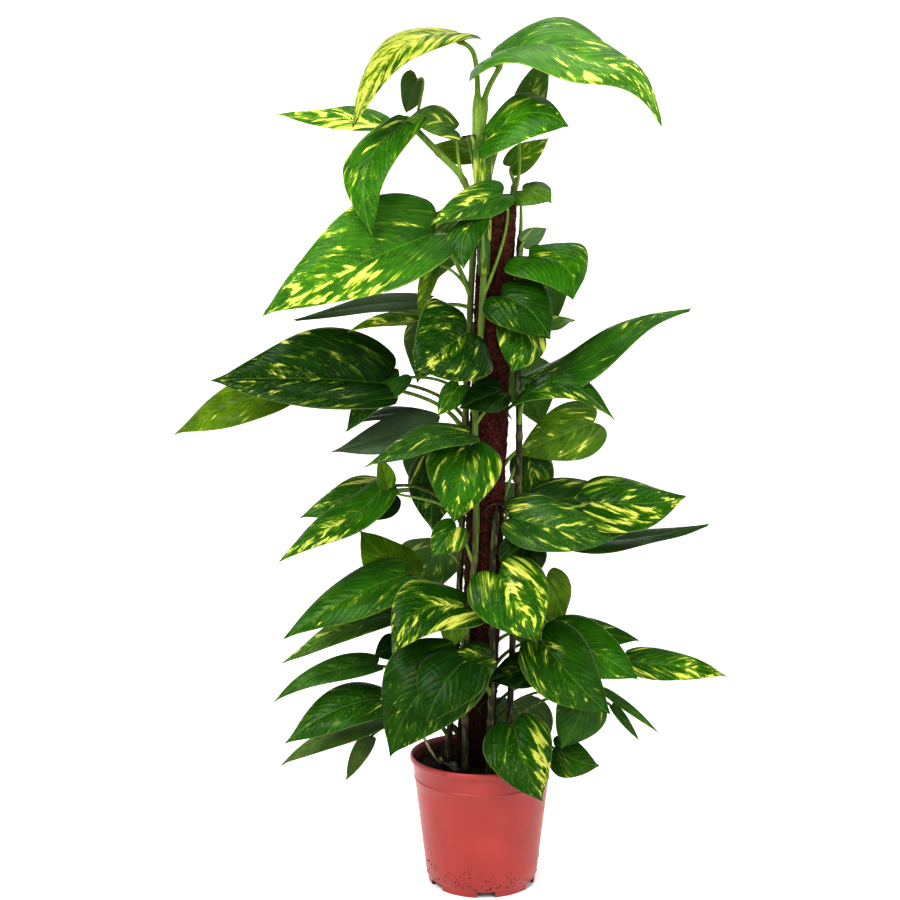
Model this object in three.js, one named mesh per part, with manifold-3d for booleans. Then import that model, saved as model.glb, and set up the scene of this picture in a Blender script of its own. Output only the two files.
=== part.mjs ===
// A potted golden pothos: six leafy vines climbing a coir pole in a 19 cm nursery pot.
// Millimetres, +Z up, origin at the middle of the pot's underside. The front of the plant is -Y.
import * as THREE from "three";
import { mergeVertices } from "three/addons/utils/BufferGeometryUtils.js";
import Module from "manifold-3d";

const wasm = await Module();
wasm.setup();

// ---- Driving dimensions -------------------------------------------------------------------
const POT_HEIGHT = 167;
const POT_RIM_RADIUS = 95;
const POT_NECK_RADIUS = 91.5; // outside of the body, just under the rolled rim
const POT_BASE_RADIUS = 71.5;
const POT_WALL = 2;
const POT_SIDES = 32;
const RIM_HEIGHT = 8;
const RING_BELOW_RIM = 29; // the moulded ring line, measured from the top
const RING_STEP = 0.9;
const FOOT_HEIGHT = 8.5;
const FOOT_STEP = 1;
const FLOOR_LEVEL = 12; // the raised floor's upper side
const FLOOR_THICKNESS = 3;
const REST_DISC_RADIUS = 24; // the middle of the floor comes down to the ground
const DRAIN_HOLES = 8;
const DRAIN_RADIUS = 5;
const DRAIN_CIRCLE = 49;
const FOOT_NOTCHES = 6;
const NOTCH_WIDTH = 24;
const NOTCH_HEIGHT = 7;
const NOTCH_TURN = (-87 * Math.PI) / 180; // one notch faces the front
const SOIL_LEVEL = 153;
const SOIL_WAVE = 1.6;
const SOIL_SIDES = 18;
const GAP = 0.35; // between touching pieces

const POLE_FOOT = new THREE.Vector3(-14, 0, 14);
const POLE_HEAD = new THREE.Vector3(20, 0, 889);
const STAKE_RADIUS = 9;
const COIR_RADIUS = 24.3;
const COIR_LUMP = 0.8;
const COIR_SIDES = 12;
const COIR_RINGS = 16;
const STAKE_SHOWS = 3; // how far the stake stands out of the coir at the head

const VINE_RADIUS = 4.4;
const VINE_SIDES = 6;
const VINE_STEP = 60; // a ring about this often along a vine
const HOLE_CLEARANCE = 0.6;
const PETIOLE_SIDES = 4;
const PETIOLE_STEPS = 4;
const PETIOLE_RADIUS = 1.7; // on the smallest leaf; it grows with the leaf
const PETIOLE_GROWTH = 0.006;
const BLADE_THICKNESS = 1;
const SIGHT_POINT = new THREE.Vector3(-42, -1600, 650); // where the leaf places are seen from

// A blade's outline: half width = (u + START)^RISE * (1 - u)^FALL from heel (u = 0) to tip (u = 1).
const OUTLINE = { start: 0.07, rise: 0.5, fall: 1.1 };
const LOBE_BACK = 0.13; // how far the heel lobes sweep back, as a share of the blade's width
const ARCH_SKEW = 0.85; // the midrib rises fastest near the heel
const ACROSS = [-1, -0.5, 0, 0.5, 1];
const ALONG = [0, 0.14, 0.36, 0.62, 0.86];
const ALONG_SMALL = [0, 0.2, 0.5, 0.8];
const SMALL_LEAF = 120; // a blade shorter than this has fewer facets
const DROOP = 0.24; // the halves bend down towards the margin
const WAVE = 0.035; // the margin's waves, as a share of the blade's width

// ---- Colours ------------------------------------------------------------------------------
const terracotta = { color: 0xc1524a, roughness: 0.35, metalness: 0 };
const darkSoil = { color: 0x2a1c14, roughness: 0.95, metalness: 0 };
const coirBrown = { color: 0x6a3322, roughness: 0.95, metalness: 0 };
const paleWood = { color: 0xa98457, roughness: 0.8, metalness: 0 };
const leafGreen = { color: 0x3f8a1e, roughness: 0.4, metalness: 0 };

// ---- The plant ----------------------------------------------------------------------------
// A vine's route about the pole's axis: [direction in degrees from +X, distance, height].
const VINES = {
  crown: [
    [-112, 37, 92], [-114, 35, 170], [-128, 31, 300], [-112, 31, 450], [-126, 31, 600],
    [-120, 31, 740], [-122, 31, 860], [-140, 30, 912], [-176, 30, 970], [-178, 29, 1042],
  ],
  fork: [
    [172, 40, 92], [170, 37, 170], [178, 31, 300], [166, 31, 450], [176, 31, 600],
    [168, 31, 760], [174, 32, 870], [-172, 46, 916], [-174, 84, 955], [-175, 120, 990],
  ],
  right: [
    [-14, 45, 92], [-12, 44, 170], [-8, 43, 300], [-6, 42, 450], [-10, 40, 600],
    [-4, 33, 700], [-8, 31, 790], [-6, 31, 856],
  ],
  backRight: [
    [50, 38, 92], [48, 36, 170], [56, 31, 300], [46, 31, 450], [54, 31, 600],
    [48, 31, 760], [54, 31, 880], [40, 30, 925],
  ],
  backLeft: [
    [124, 38, 92], [122, 36, 170], [130, 31, 300], [120, 31, 450], [128, 31, 600],
    [122, 31, 760], [126, 31, 880],
  ],
  lowFront: [[-64, 44, 92], [-66, 41, 170], [-62, 33, 300], [-70, 31, 400], [-64, 31, 500]],
};

// A leaf: name, vine, height where it leaves the vine, heel and tip as [x, z] seen on the
// pole's upright plane with the depth behind it, width, the way its face looks, arch (how far
// the midrib rises), fold (how steeply the halves stand up) and bend (the midrib's sideways bow).
const LEAVES = [
  ["crown_left", "crown", 1032, [-28, 1093, -5], [-168, 984, -60], 100, [-5, -7, 6], 46, 0.25, 0],
  ["crown_right", "crown", 1036, [17, 1062, -8], [232, 985, -70], 140, [1, -8, 8], 72, 0.25, 0],
  ["crown_heart", "crown", 930, [10, 971, -42], [112, 985, -88], 86, [0, -10, 5], 8, 0.1, 25],
  ["pole_top", "crown", 765, [26, 900, -40], [-68, 860, -76], 60, [-1, -9, 6], 6, 0.3, 2],
  ["pole_top_low", "crown", 800, [-8, 868, -70], [-24, 803, -98], 46, [-3, -10, 2], 4, 0.1, -9],
  ["heart_upper", "crown", 640, [-21, 721, -54], [-88, 670, -132], 118, [0, -10, 0], 12, 0.2, 0],
  ["dark_heart", "crown", 600, [24, 645, -42], [-30, 622, -68], 52, [0, -9, 5], 4, 0.2, 0],
  ["mottled_small", "crown", 610, [-30, 652, -46], [-58, 612, -62], 34, [-2, -10, 3], 2, 0.1, 0],
  ["narrow_middle", "crown", 545, [-18, 588, -58], [-155, 545, -106], 62, [0, -5, 9], 14, 0.2, 0],
  ["heart_middle", "crown", 500, [-20, 569, -52], [-37, 473, -88], 96, [0, -10, 4], 12, 0.2, 0],
  ["mottled_under", "crown", 420, [-34, 466, -40], [-66, 427, -58], 48, [-2, -10, 3], 3, 0.1, 0],
  ["heart_left", "crown", 320, [-21, 360, -54], [-118, 297, -106], 90, [-1, -9, 6], 10, 0.2, -28],
  ["pale_front", "crown", 300, [-34, 350, -46], [-44, 302, -50], 36, [0, -10, 2], 2, 0.1, 0],

  ["branch_hanging", "fork", 984, [-97, 992, -20], [-143, 845, -72], 86, [-6, -10, 2], 20, 0.2, -24],
  ["branch_long", "fork", 986, [-130, 988, 14], [-267, 1001, 34], 60, [0, -7, 8], 4, 0.3, 0],
  ["branch_folded", "fork", 980, [-84, 1046, 34], [-98, 1003, 22], 46, [-7, 7, 3], 5, 0.3, 0],
  ["branch_small", "fork", 918, [-36, 982, -16], [-100, 993, -42], 50, [0, -10, 5], 4, 0.2, -8],
  ["broad_left", "fork", 770, [-64, 848, -24], [-286, 742, -92], 142, [-1, -10, 6], 10, 0.55, 0],
  ["rolled_leaf", "fork", 770, [-62, 806, -22], [-84, 742, -30], 24, [-3, -10, 2], 2, 0.6, 0],
  ["half_rolled", "fork", 700, [-76, 736, -14], [-176, 722, -40], 40, [0, -6, 9], 6, 0.5, 0],
  ["long_left", "fork", 590, [-130, 655, -24], [-355, 659, -56], 128, [0, -10, 7], 8, 0.6, 0],
  ["narrow_left", "fork", 630, [-108, 664, -18], [-179, 592, -52], 56, [-5, -8, 4], 6, 0.3, 0],
  ["grey_left", "fork", 550, [-60, 600, -8], [-199, 565, -40], 66, [0, -7, 7], 14, 0.3, 10],
  ["pair_front", "fork", 470, [-128, 521, -20], [-268, 420, -62], 70, [-1, -5, 8], 4, 0.2, 9],
  ["curled_lobe", "fork", 470, [-124, 520, -34], [-134, 560, -40], 26, [3, -10, 2], 2, 0.4, 0],
  ["olive_up", "fork", 330, [-98, 403, 4], [-160, 462, 26], 72, [3, -9, 4], 6, 0.1, 6],
  ["low_left", "fork", 360, [-101, 403, -22], [-262, 318, -72], 80, [-1, -7, 8], 13, 0.2, 0],
  ["dark_side", "fork", 250, [-112, 312, 0], [-142, 296, -8], 36, [0, -10, 2], 2, 0.1, 0],
  ["arching_left", "fork", 250, [-138, 285, -12], [-277, 232, -42], 40, [0, -7, 8], 16, 0.3, -6],
  ["pot_left", "fork", 185, [-134, 238, -18], [-262, 178, -54], 68, [0, -7, 8], 14, 0.2, -5],

  ["olive_behind", "backLeft", 860, [-7, 953, 40], [-66, 960, 70], 50, [0, -9, 5], 6, 0.1, 0],
  ["under_broad", "backLeft", 740, [-72, 762, 42], [-246, 738, 32], 70, [0, 3, 10], 6, 0.2, 0],
  ["far_left", "backLeft", 590, [-250, 655, 26], [-404, 587, 6], 84, [0, -8, 8], 14, 0.2, 5],
  ["dark_left", "backLeft", 570, [-75, 612, 32], [-168, 606, 44], 50, [0, -4, 9], 8, 0.2, 0],
  ["mottled_left", "backLeft", 490, [-62, 550, 16], [-66, 462, 26], 70, [-2, -10, 2], 8, 0.1, 0],
  ["pair_behind", "backLeft", 480, [-135, 518, 10], [-240, 478, -4], 60, [0, -7, 8], 6, 0.2, 0],
  ["small_dark", "backLeft", 460, [-120, 510, 28], [-152, 476, 42], 50, [-3, -9, 3], 4, 0.1, 0],
  ["under_low_left", "backLeft", 320, [-115, 352, 6], [-265, 286, -26], 50, [0, -5, 9], 6, 0.2, -6],
  ["under_pot_left", "backLeft", 180, [-130, 212, 16], [-267, 148, 6], 56, [0, -4, 9], 14, 0.2, 0],
  ["hanging_low", "backLeft", 175, [-148, 188, 34], [-181, 128, 40], 26, [-4, -9, 1], 4, 0.2, 0],

  ["beside_pole_top", "right", 850, [52, 904, -16], [90, 888, -46], 58, [1, -9, 6], 6, 0.1, 0],
  ["grey_behind", "right", 800, [54, 838, -24], [84, 856, -30], 26, [0, 10, 2], 2, 0.1, 0],
  ["heart_right_top", "right", 770, [60, 818, -42], [119, 765, -80], 98, [3, -10, 4], 8, 0.1, 22],
  ["heart_right", "right", 730, [25, 768, -50], [89, 712, -78], 82, [1, -10, 3], 8, 0.1, 8],
  ["small_right", "right", 690, [48, 727, -42], [40, 669, -64], 66, [2, -10, 3], 6, 0.1, 6],
  ["long_right", "right", 630, [64, 660, -20], [272, 753, -36], 94, [0, -5, 10], 4, 0.2, -8],
  ["arching_right", "right", 600, [50, 626, -24], [174, 607, -72], 84, [0, -5, 10], 42, 0.2, 0],
  ["folded_right", "right", 440, [40, 480, -48], [187, 458, -78], 80, [1, -9, 6], 10, 0.3, -12],
  ["pointed_right", "right", 450, [145, 500, -42], [268, 507, -62], 96, [0, -8, 8], 8, 0.2, -14],
  ["mottled_right", "right", 470, [75, 500, 12], [200, 505, 6], 74, [0, -8, 7], 6, 0.2, 0],
  ["dark_above", "right", 400, [58, 446, -36], [40, 385, -50], 62, [1, -10, 3], 4, 0.1, 0],
  ["variegated_heart", "right", 370, [22, 404, -56], [73, 312, -96], 104, [1, -10, 3], 12, 0.2, 0],
  ["front_right", "right", 280, [80, 316, -44], [170, 218, -88], 98, [3, -10, 4], 12, 0.2, -9],
  ["dark_low", "right", 250, [70, 282, -20], [8, 262, -46], 50, [0, -9, 5], 4, 0.2, 0],
  ["olive_low_right", "right", 200, [140, 240, -40], [105, 172, -62], 70, [2, -10, 2], 6, 0.1, 0],

  ["upright_striped", "backRight", 900, [50, 985, 26], [84, 1082, 50], 44, [2, 10, 0], -6, 0.2, 0],
  ["small_behind", "backRight", 915, [37, 935, 34], [86, 972, 46], 38, [0, -10, 3], 4, 0.1, 0],
  ["pale_tip", "backRight", 700, [80, 730, 52], [122, 738, 76], 44, [0, -4, 9], 4, 0.2, 0],
  ["light_olive", "backRight", 540, [146, 604, 48], [44, 562, 34], 80, [0, -10, 2], 6, 0.1, 0],
  ["mottled_behind", "backRight", 490, [60, 560, 62], [80, 490, 74], 60, [1, -10, 1], 6, 0.1, 0],
  ["under_right", "backRight", 410, [120, 450, 18], [299, 472, -8], 70, [0, -3, 10], -8, 0.2, 0],
  ["olive_right", "backRight", 350, [84, 398, 14], [110, 343, 28], 58, [2, -10, 2], 5, 0.1, 0],
  ["behind_right", "backRight", 300, [110, 330, 24], [208, 316, 22], 50, [0, -7, 8], 6, 0.2, 0],
  ["beside_right", "backRight", 270, [98, 322, -6], [207, 264, -30], 84, [1, -9, 6], 10, 0.2, 2],
  ["far_right", "backRight", 240, [195, 289, 44], [325, 268, 20], 50, [0, -8, 7], 9, 0.2, 0],
  ["thin_right", "backRight", 215, [160, 250, 18], [237, 191, 8], 15, [0, -7, 8], 3, 0.4, 0],
  ["thin_low_right", "backRight", 195, [172, 230, 26], [209, 182, 28], 14, [0, -8, 6], 2, 0.4, 0],
  ["lowest_right", "backRight", 178, [99, 172, -42], [157, 150, -52], 54, [0, -8, 6], 6, 0.1, -8],

  ["front_left", "lowFront", 250, [-30, 286, -66], [-121, 160, -108], 122, [-2, -10, 4], 18, 0.2, -14],
  ["small_front", "lowFront", 290, [-27, 285, -92], [-73, 208, -128], 84, [-2, -10, 4], 8, 0.1, -4],
  ["mottled_front", "lowFront", 270, [12, 294, -52], [-42, 296, -84], 44, [0, -7, 7], 4, 0.2, 0],
  ["low_front", "lowFront", 180, [43, 201, -72], [82, 101, -114], 90, [2, -10, 4], 12, 0.2, -8],

  ["back_1", "backLeft", 850, [-25, 868, 92], [-60, 790, 170], 98, [-2, 10, 6], 14, 0.2, 0],
  ["back_2", "backRight", 760, [58, 800, 92], [92, 730, 175], 104, [2, 10, 6], 14, 0.2, 0],
  ["back_3", "backLeft", 660, [-40, 730, 94], [-85, 655, 178], 108, [-2, 10, 6], 16, 0.2, 0],
  ["back_4", "backRight", 640, [42, 680, 96], [78, 600, 178], 100, [2, 10, 6], 14, 0.2, 0],
  ["back_5", "backLeft", 530, [-42, 590, 98], [-92, 520, 182], 110, [-2, 10, 6], 16, 0.2, 0],
  ["back_6", "backRight", 440, [50, 520, 98], [92, 440, 178], 106, [2, 10, 6], 14, 0.2, 0],
  ["back_7", "backLeft", 380, [-48, 440, 98], [-96, 365, 180], 108, [-2, 10, 6], 16, 0.2, 0],
  ["back_8", "backRight", 310, [46, 365, 100], [96, 290, 176], 104, [2, 10, 6], 14, 0.2, 0],
  ["back_9", "backLeft", 240, [-46, 300, 98], [-96, 215, 168], 108, [-2, 10, 6], 16, 0.2, 0],
  ["back_10", "backRight", 185, [44, 232, 96], [70, 150, 148], 92, [2, 10, 6], 12, 0.2, 0],
];

// ---- Solids -------------------------------------------------------------------------------
// A closed geometry as a solid: only its corners count, and those that touch are shared.
function solidOf(geometry) {
  geometry.deleteAttribute("normal");
  geometry.deleteAttribute("uv");
  const merged = mergeVertices(geometry, 1e-4);
  return new wasm.Manifold(
    new wasm.Mesh({
      numProp: 3,
      vertProperties: new Float32Array(merged.attributes.position.array),
      triVerts: new Uint32Array(merged.index.array),
    }),
  );
}

function join(solids) {
  return solids.reduce((whole, next) => whole.add(next));
}

function piece(name, solid, finish) {
  const { vertProperties, triVerts } = solid.getMesh();
  const geometry = new THREE.BufferGeometry();
  geometry.setAttribute("position", new THREE.BufferAttribute(vertProperties, 3));
  geometry.setIndex(new THREE.BufferAttribute(triVerts, 1));
  geometry.computeVertexNormals();
  const mesh = new THREE.Mesh(geometry, new THREE.MeshStandardMaterial(finish));
  mesh.name = name;
  return mesh;
}

// A lathe turns about +Y, so it is stood up to turn about +Z. The outline runs from the
// lower end of the axis, outwards and up, so that the faces look out.
function turned(outline, segments) {
  const points = outline.map(([r, z]) => new THREE.Vector2(r, z));
  return new THREE.LatheGeometry(points, segments).rotateX(Math.PI / 2);
}

function tube(curve, radius, sides, steps) {
  const ring = Array.from({ length: sides }, (_, i) => {
    const turn = (2 * Math.PI * i) / sides;
    return new THREE.Vector2(radius * Math.cos(turn), radius * Math.sin(turn));
  });
  return solidOf(
    new THREE.ExtrudeGeometry(new THREE.Shape(ring), {
      steps,
      extrudePath: curve,
      bevelEnabled: false,
    }),
  );
}

// ---- Pot ----------------------------------------------------------------------------------
const wallSlope = (POT_NECK_RADIUS - POT_BASE_RADIUS) / (POT_HEIGHT - RIM_HEIGHT);
const outerRadius = (z) => POT_BASE_RADIUS + wallSlope * z;
const innerRadius = (z) => outerRadius(z) - POT_WALL;

function potShell() {
  const floorUnder = FLOOR_LEVEL - FLOOR_THICKNESS;
  const rimUnder = POT_HEIGHT - RIM_HEIGHT;
  const ring = POT_HEIGHT - RING_BELOW_RIM;
  const footInside = POT_BASE_RADIUS - 4 * POT_WALL;
  return solidOf(
    turned(
      [
        [0, 0],
        [REST_DISC_RADIUS, 0],
        [REST_DISC_RADIUS + 5, floorUnder],
        [footInside, floorUnder],
        [footInside + 1, 0],
        [POT_BASE_RADIUS - FOOT_STEP, 0],
        [outerRadius(FOOT_HEIGHT) - FOOT_STEP, FOOT_HEIGHT],
        [outerRadius(FOOT_HEIGHT), FOOT_HEIGHT + 0.6],
        [outerRadius(ring - 1.5), ring - 1.5],
        [outerRadius(ring) + RING_STEP, ring],
        [outerRadius(rimUnder), rimUnder],
        [POT_RIM_RADIUS, rimUnder + 1],
        [POT_RIM_RADIUS, POT_HEIGHT - 1.5],
        [POT_RIM_RADIUS - 1.5, POT_HEIGHT],
        [POT_RIM_RADIUS - 3.5, POT_HEIGHT],
        [innerRadius(rimUnder), rimUnder - 2],
        [innerRadius(FLOOR_LEVEL), FLOOR_LEVEL],
        [REST_DISC_RADIUS + 3, FLOOR_LEVEL],
        [REST_DISC_RADIUS - 2, FLOOR_THICKNESS],
        [0, FLOOR_THICKNESS],
      ],
      POT_SIDES,
    ),
  );
}

function pot() {
  let shell = potShell();
  for (let i = 0; i < DRAIN_HOLES; i++) {
    const turn = (2 * Math.PI * (i + 0.5)) / DRAIN_HOLES;
    const drill = new THREE.CylinderGeometry(DRAIN_RADIUS, DRAIN_RADIUS, 3 * FLOOR_THICKNESS, 10);
    drill.rotateX(Math.PI / 2);
    drill.translate(
      DRAIN_CIRCLE * Math.cos(turn),
      DRAIN_CIRCLE * Math.sin(turn),
      FLOOR_LEVEL - FLOOR_THICKNESS / 2,
    );
    shell = shell.subtract(solidOf(drill));
  }
  for (let i = 0; i < FOOT_NOTCHES; i++) {
    const notch = new THREE.BoxGeometry(7 * POT_WALL, NOTCH_WIDTH, 2 * NOTCH_HEIGHT);
    notch.translate(POT_BASE_RADIUS - 2 * POT_WALL, 0, 0);
    notch.rotateZ(NOTCH_TURN + (2 * Math.PI * i) / FOOT_NOTCHES);
    shell = shell.subtract(solidOf(notch));
  }
  return shell;
}

// ---- Pole ---------------------------------------------------------------------------------
const poleLine = new THREE.Line3(POLE_FOOT, POLE_HEAD);
const poleLength = poleLine.distance();
const poleTilt = Math.atan2(POLE_HEAD.x - POLE_FOOT.x, POLE_HEAD.z - POLE_FOOT.z);

// The pole's axis at a height; above the head it is the same line, drawn on.
function poleAxis(z) {
  const share = (z - POLE_FOOT.z) / (POLE_HEAD.z - POLE_FOOT.z);
  return new THREE.Vector3().lerpVectors(POLE_FOOT, POLE_HEAD, share);
}

function alongPole(geometry) {
  return geometry.rotateY(poleTilt).translate(POLE_FOOT.x, POLE_FOOT.y, POLE_FOOT.z);
}

function stake() {
  const rod = new THREE.CylinderGeometry(STAKE_RADIUS, STAKE_RADIUS, poleLength + STAKE_SHOWS, 10);
  rod.rotateX(Math.PI / 2).translate(0, 0, (poleLength + STAKE_SHOWS) / 2);
  return solidOf(alongPole(rod));
}

// The coir sleeve: lumpy outside, and rounded in at its two ends.
function coir() {
  const rings = COIR_RINGS;
  const wall = Array.from({ length: rings + 1 }, (_, i) => [COIR_RADIUS, (poleLength * i) / rings]);
  wall[0][0] -= 2;
  wall[rings][0] -= 3;
  const bore = STAKE_RADIUS + GAP;
  const sleeve = turned([[bore, 0], ...wall, [bore, poleLength], [bore, 0]], COIR_SIDES);
  const at = sleeve.attributes.position;
  for (let i = 0; i < at.count; i++) {
    const [x, y, z] = [at.getX(i), at.getY(i), at.getZ(i)];
    const r = Math.hypot(x, y);
    if (r < COIR_RADIUS - 4) continue;
    const turn = Math.atan2(y, x);
    const lump = COIR_LUMP * Math.sin(z / 17 + 2 * Math.cos(turn)) * Math.cos(turn + z / 60);
    at.setX(i, x * (1 + lump / r));
    at.setY(i, y * (1 + lump / r));
  }
  return solidOf(alongPole(sleeve));
}

// ---- Vines and leaves ---------------------------------------------------------------------
function vineCurve(route) {
  const points = route.map(([turn, distance, z]) => {
    const angle = THREE.MathUtils.degToRad(turn);
    const out = new THREE.Vector3(Math.cos(angle), Math.sin(angle), 0);
    return poleAxis(z).addScaledVector(out, distance);
  });
  return new THREE.CatmullRomCurve3(points);
}

// The point of a vine at a height, found by halving: every vine rises all the way.
function vineAt(curve, z) {
  let [low, high] = [0, 1];
  for (let i = 0; i < 30; i++) {
    const middle = (low + high) / 2;
    if (curve.getPoint(middle).z < z) low = middle;
    else high = middle;
  }
  return curve.getPoint(low);
}

// A place seen at x, z on the upright plane through the pole, slid along the line of sight
// until it lies the given depth behind that plane.
function seen([x, z, depth]) {
  const onPlane = new THREE.Vector3(x, 0, z);
  const share = (depth - SIGHT_POINT.y) / -SIGHT_POINT.y;
  return new THREE.Vector3().lerpVectors(SIGHT_POINT, onPlane, share);
}

const outlineAt = (u) => (u + OUTLINE.start) ** OUTLINE.rise * (1 - u) ** OUTLINE.fall;
const WIDEST = (OUTLINE.rise - OUTLINE.fall * OUTLINE.start) / (OUTLINE.rise + OUTLINE.fall);

// The blade's middle surface as a function of u, heel to tip, and v, margin to margin.
function bladeSurface(heel, tip, width, face, arch, fold, bend) {
  const length = heel.distanceTo(tip);
  const ahead = tip.clone().sub(heel).normalize();
  const up = new THREE.Vector3(...face).projectOnPlane(ahead).normalize();
  const side = up.clone().cross(ahead);
  return (u, v) => {
    const half = ((width / 2) * outlineAt(u)) / outlineAt(WIDEST);
    const away = Math.abs(v);
    const swept = LOBE_BACK * width * (1 - u) ** 3 * away * (3.2 - 2.4 * away);
    const wave = WAVE * width * v * away * Math.sin(7 * u + 2 * v + length);
    const cupped = half * (fold * away - DROOP * v * v);
    const rise = arch * Math.sin(Math.PI * u ** ARCH_SKEW) + cupped + wave;
    return heel
      .clone()
      .addScaledVector(ahead, length * u - swept)
      .addScaledVector(side, half * v + 4 * bend * u * (1 - u))
      .addScaledVector(up, rise);
  };
}

// The blade as a thin solid: the middle surface moved half a thickness each way along its own
// normal, split alike on both faces, and closed round the margin.
function blade(surface, rowsAlong) {
  const corners = [];
  for (const u of rowsAlong) for (const v of ACROSS) corners.push([u, v]);
  corners.push([1, 0]);
  const count = corners.length;
  const positions = new Float32Array(6 * count);
  corners.forEach(([u, v], i) => {
    const nudge = 0.01;
    const [a, b] = [Math.max(u - nudge, 0), Math.min(u + nudge, 0.99)];
    const alongIt = surface(b, v).sub(surface(a, v));
    const acrossIt = surface(Math.min(u, 0.97), v + nudge).sub(surface(Math.min(u, 0.97), v - nudge));
    const normal = alongIt.cross(acrossIt).normalize();
    const middle = surface(u, v);
    middle.clone().addScaledVector(normal, BLADE_THICKNESS / 2).toArray(positions, 3 * i);
    middle.addScaledVector(normal, -BLADE_THICKNESS / 2).toArray(positions, 3 * (i + count));
  });

  const faces = [];
  const columns = ACROSS.length;
  const rows = rowsAlong.length;
  const at = (row, column) => (row === rows ? count - 1 : row * columns + column);
  for (let row = 0; row < rows; row++)
    for (let column = 0; column < columns - 1; column++) {
      faces.push([at(row, column), at(row + 1, column), at(row, column + 1)]);
      if (row < rows - 1)
        faces.push([at(row + 1, column), at(row + 1, column + 1), at(row, column + 1)]);
    }
  const margin = [];
  for (let column = columns - 1; column > 0; column--) margin.push(at(0, column));
  for (let row = 0; row <= rows; row++) margin.push(at(row, 0));
  for (let row = rows - 1; row > 0; row--) margin.push(at(row, columns - 1));
  const index = [];
  for (const [a, b, c] of faces) index.push(a, b, c, c + count, b + count, a + count);
  margin.forEach((a, i) => {
    const b = margin[(i + 1) % margin.length];
    index.push(a + count, b + count, b, a + count, b, a);
  });
  const geometry = new THREE.BufferGeometry();
  geometry.setAttribute("position", new THREE.BufferAttribute(positions, 3));
  geometry.setIndex(index);
  return solidOf(geometry);
}

// The petiole leaves the vine outwards and upwards, and comes in under the heel from behind.
function petiole(root, heel, ahead, up, size) {
  const reach = root.distanceTo(heel);
  const out = heel.clone().sub(root).setZ(0).normalize();
  const leaving = root.clone().addScaledVector(out, 0.2 * reach);
  leaving.z += 0.4 * reach;
  const arriving = heel.clone().addScaledVector(ahead, -0.25 * reach);
  arriving.addScaledVector(up, -0.15 * reach);
  const radius = PETIOLE_RADIUS + PETIOLE_GROWTH * size;
  const end = heel.clone().addScaledVector(ahead, 0.07 * size).addScaledVector(up, -0.9 * radius);
  const curve = new THREE.CubicBezierCurve3(root, leaving, arriving, end);
  return tube(curve, radius, PETIOLE_SIDES, PETIOLE_STEPS);
}

function leaf(row, curve) {
  const [, , leaves, heelSeen, tipSeen, width, face, arch, fold, bend] = row;
  const [heel, tip] = [seen(heelSeen), seen(tipSeen)];
  const surface = bladeSurface(heel, tip, width, face, arch, fold, bend);
  const ahead = surface(0.1, 0).sub(heel).normalize();
  const up = new THREE.Vector3(...face).projectOnPlane(ahead).normalize();
  const size = heel.distanceTo(tip);
  const rowsAlong = size < SMALL_LEAF ? ALONG_SMALL : ALONG;
  return blade(surface, rowsAlong).add(petiole(vineAt(curve, leaves), heel, ahead, up, size));
}

function vineSteps(curve) {
  return Math.round(curve.getLength() / VINE_STEP);
}

function vine(name) {
  const curve = vineCurve(VINES[name]);
  const stem = tube(curve, VINE_RADIUS, VINE_SIDES, vineSteps(curve));
  const leaves = LEAVES.filter((row) => row[1] === name).map((row) => leaf(row, curve));
  return join([stem, ...leaves]);
}

// ---- Soil ---------------------------------------------------------------------------------
// The soil fills the pot, with a plain hole for the pole and one for each vine.
function soil() {
  const top = [0.98, 0.66, 0.33, 0].map((share) => [
    share * (innerRadius(SOIL_LEVEL) - GAP),
    SOIL_LEVEL,
  ]);
  const body = turned(
    [
      [0, FLOOR_THICKNESS + GAP],
      [REST_DISC_RADIUS - 3, FLOOR_THICKNESS + GAP],
      [REST_DISC_RADIUS + 2, FLOOR_LEVEL + GAP],
      [innerRadius(FLOOR_LEVEL) - GAP, FLOOR_LEVEL + GAP],
      [innerRadius(SOIL_LEVEL - 4) - GAP, SOIL_LEVEL - 4],
      ...top,
    ],
    SOIL_SIDES,
  );
  const at = body.attributes.position;
  for (let i = 0; i < at.count; i++) {
    const [x, y, z] = [at.getX(i), at.getY(i), at.getZ(i)];
    if (z > SOIL_LEVEL - 1) at.setZ(i, z + SOIL_WAVE * Math.sin(x / 13) * Math.cos(y / 11));
  }
  const poleHole = new THREE.CylinderGeometry(1, 1, poleLength, 16);
  const holeRadius = COIR_RADIUS + COIR_LUMP + HOLE_CLEARANCE;
  poleHole.scale(holeRadius, 1, holeRadius).rotateX(Math.PI / 2);
  poleHole.translate(0, 0, poleLength / 2 - GAP);
  let filled = solidOf(body).subtract(solidOf(alongPole(poleHole)));
  for (const name of Object.keys(VINES)) {
    const curve = vineCurve(VINES[name]);
    const hole = tube(curve, VINE_RADIUS + HOLE_CLEARANCE, VINE_SIDES, vineSteps(curve));
    const clear = hole.add(hole.translate([0, 0, -2]));
    filled = filled.subtract(clear);
  }
  return filled;
}

// ---- The whole plant ----------------------------------------------------------------------
const plant = new THREE.Group();
plant.add(piece("pot", pot(), terracotta));
plant.add(piece("soil", soil(), darkSoil));
plant.add(piece("pole_stake", stake(), paleWood));
plant.add(piece("pole_coir", coir(), coirBrown));
plant.add(piece("vine_crown", vine("crown"), leafGreen));
plant.add(piece("vine_fork", vine("fork"), leafGreen));
plant.add(piece("vine_right", vine("right"), leafGreen));
plant.add(piece("vine_back_right", vine("backRight"), leafGreen));
plant.add(piece("vine_back_left", vine("backLeft"), leafGreen));
plant.add(piece("vine_low_front", vine("lowFront"), leafGreen));

export default plant;
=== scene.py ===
# A potted pothos on a coir pole: six leafy vines in a nursery pot.
# Metres, +Z up, the origin at the middle of the pot's underside, the plant's front towards -Y.
import math
import random

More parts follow.
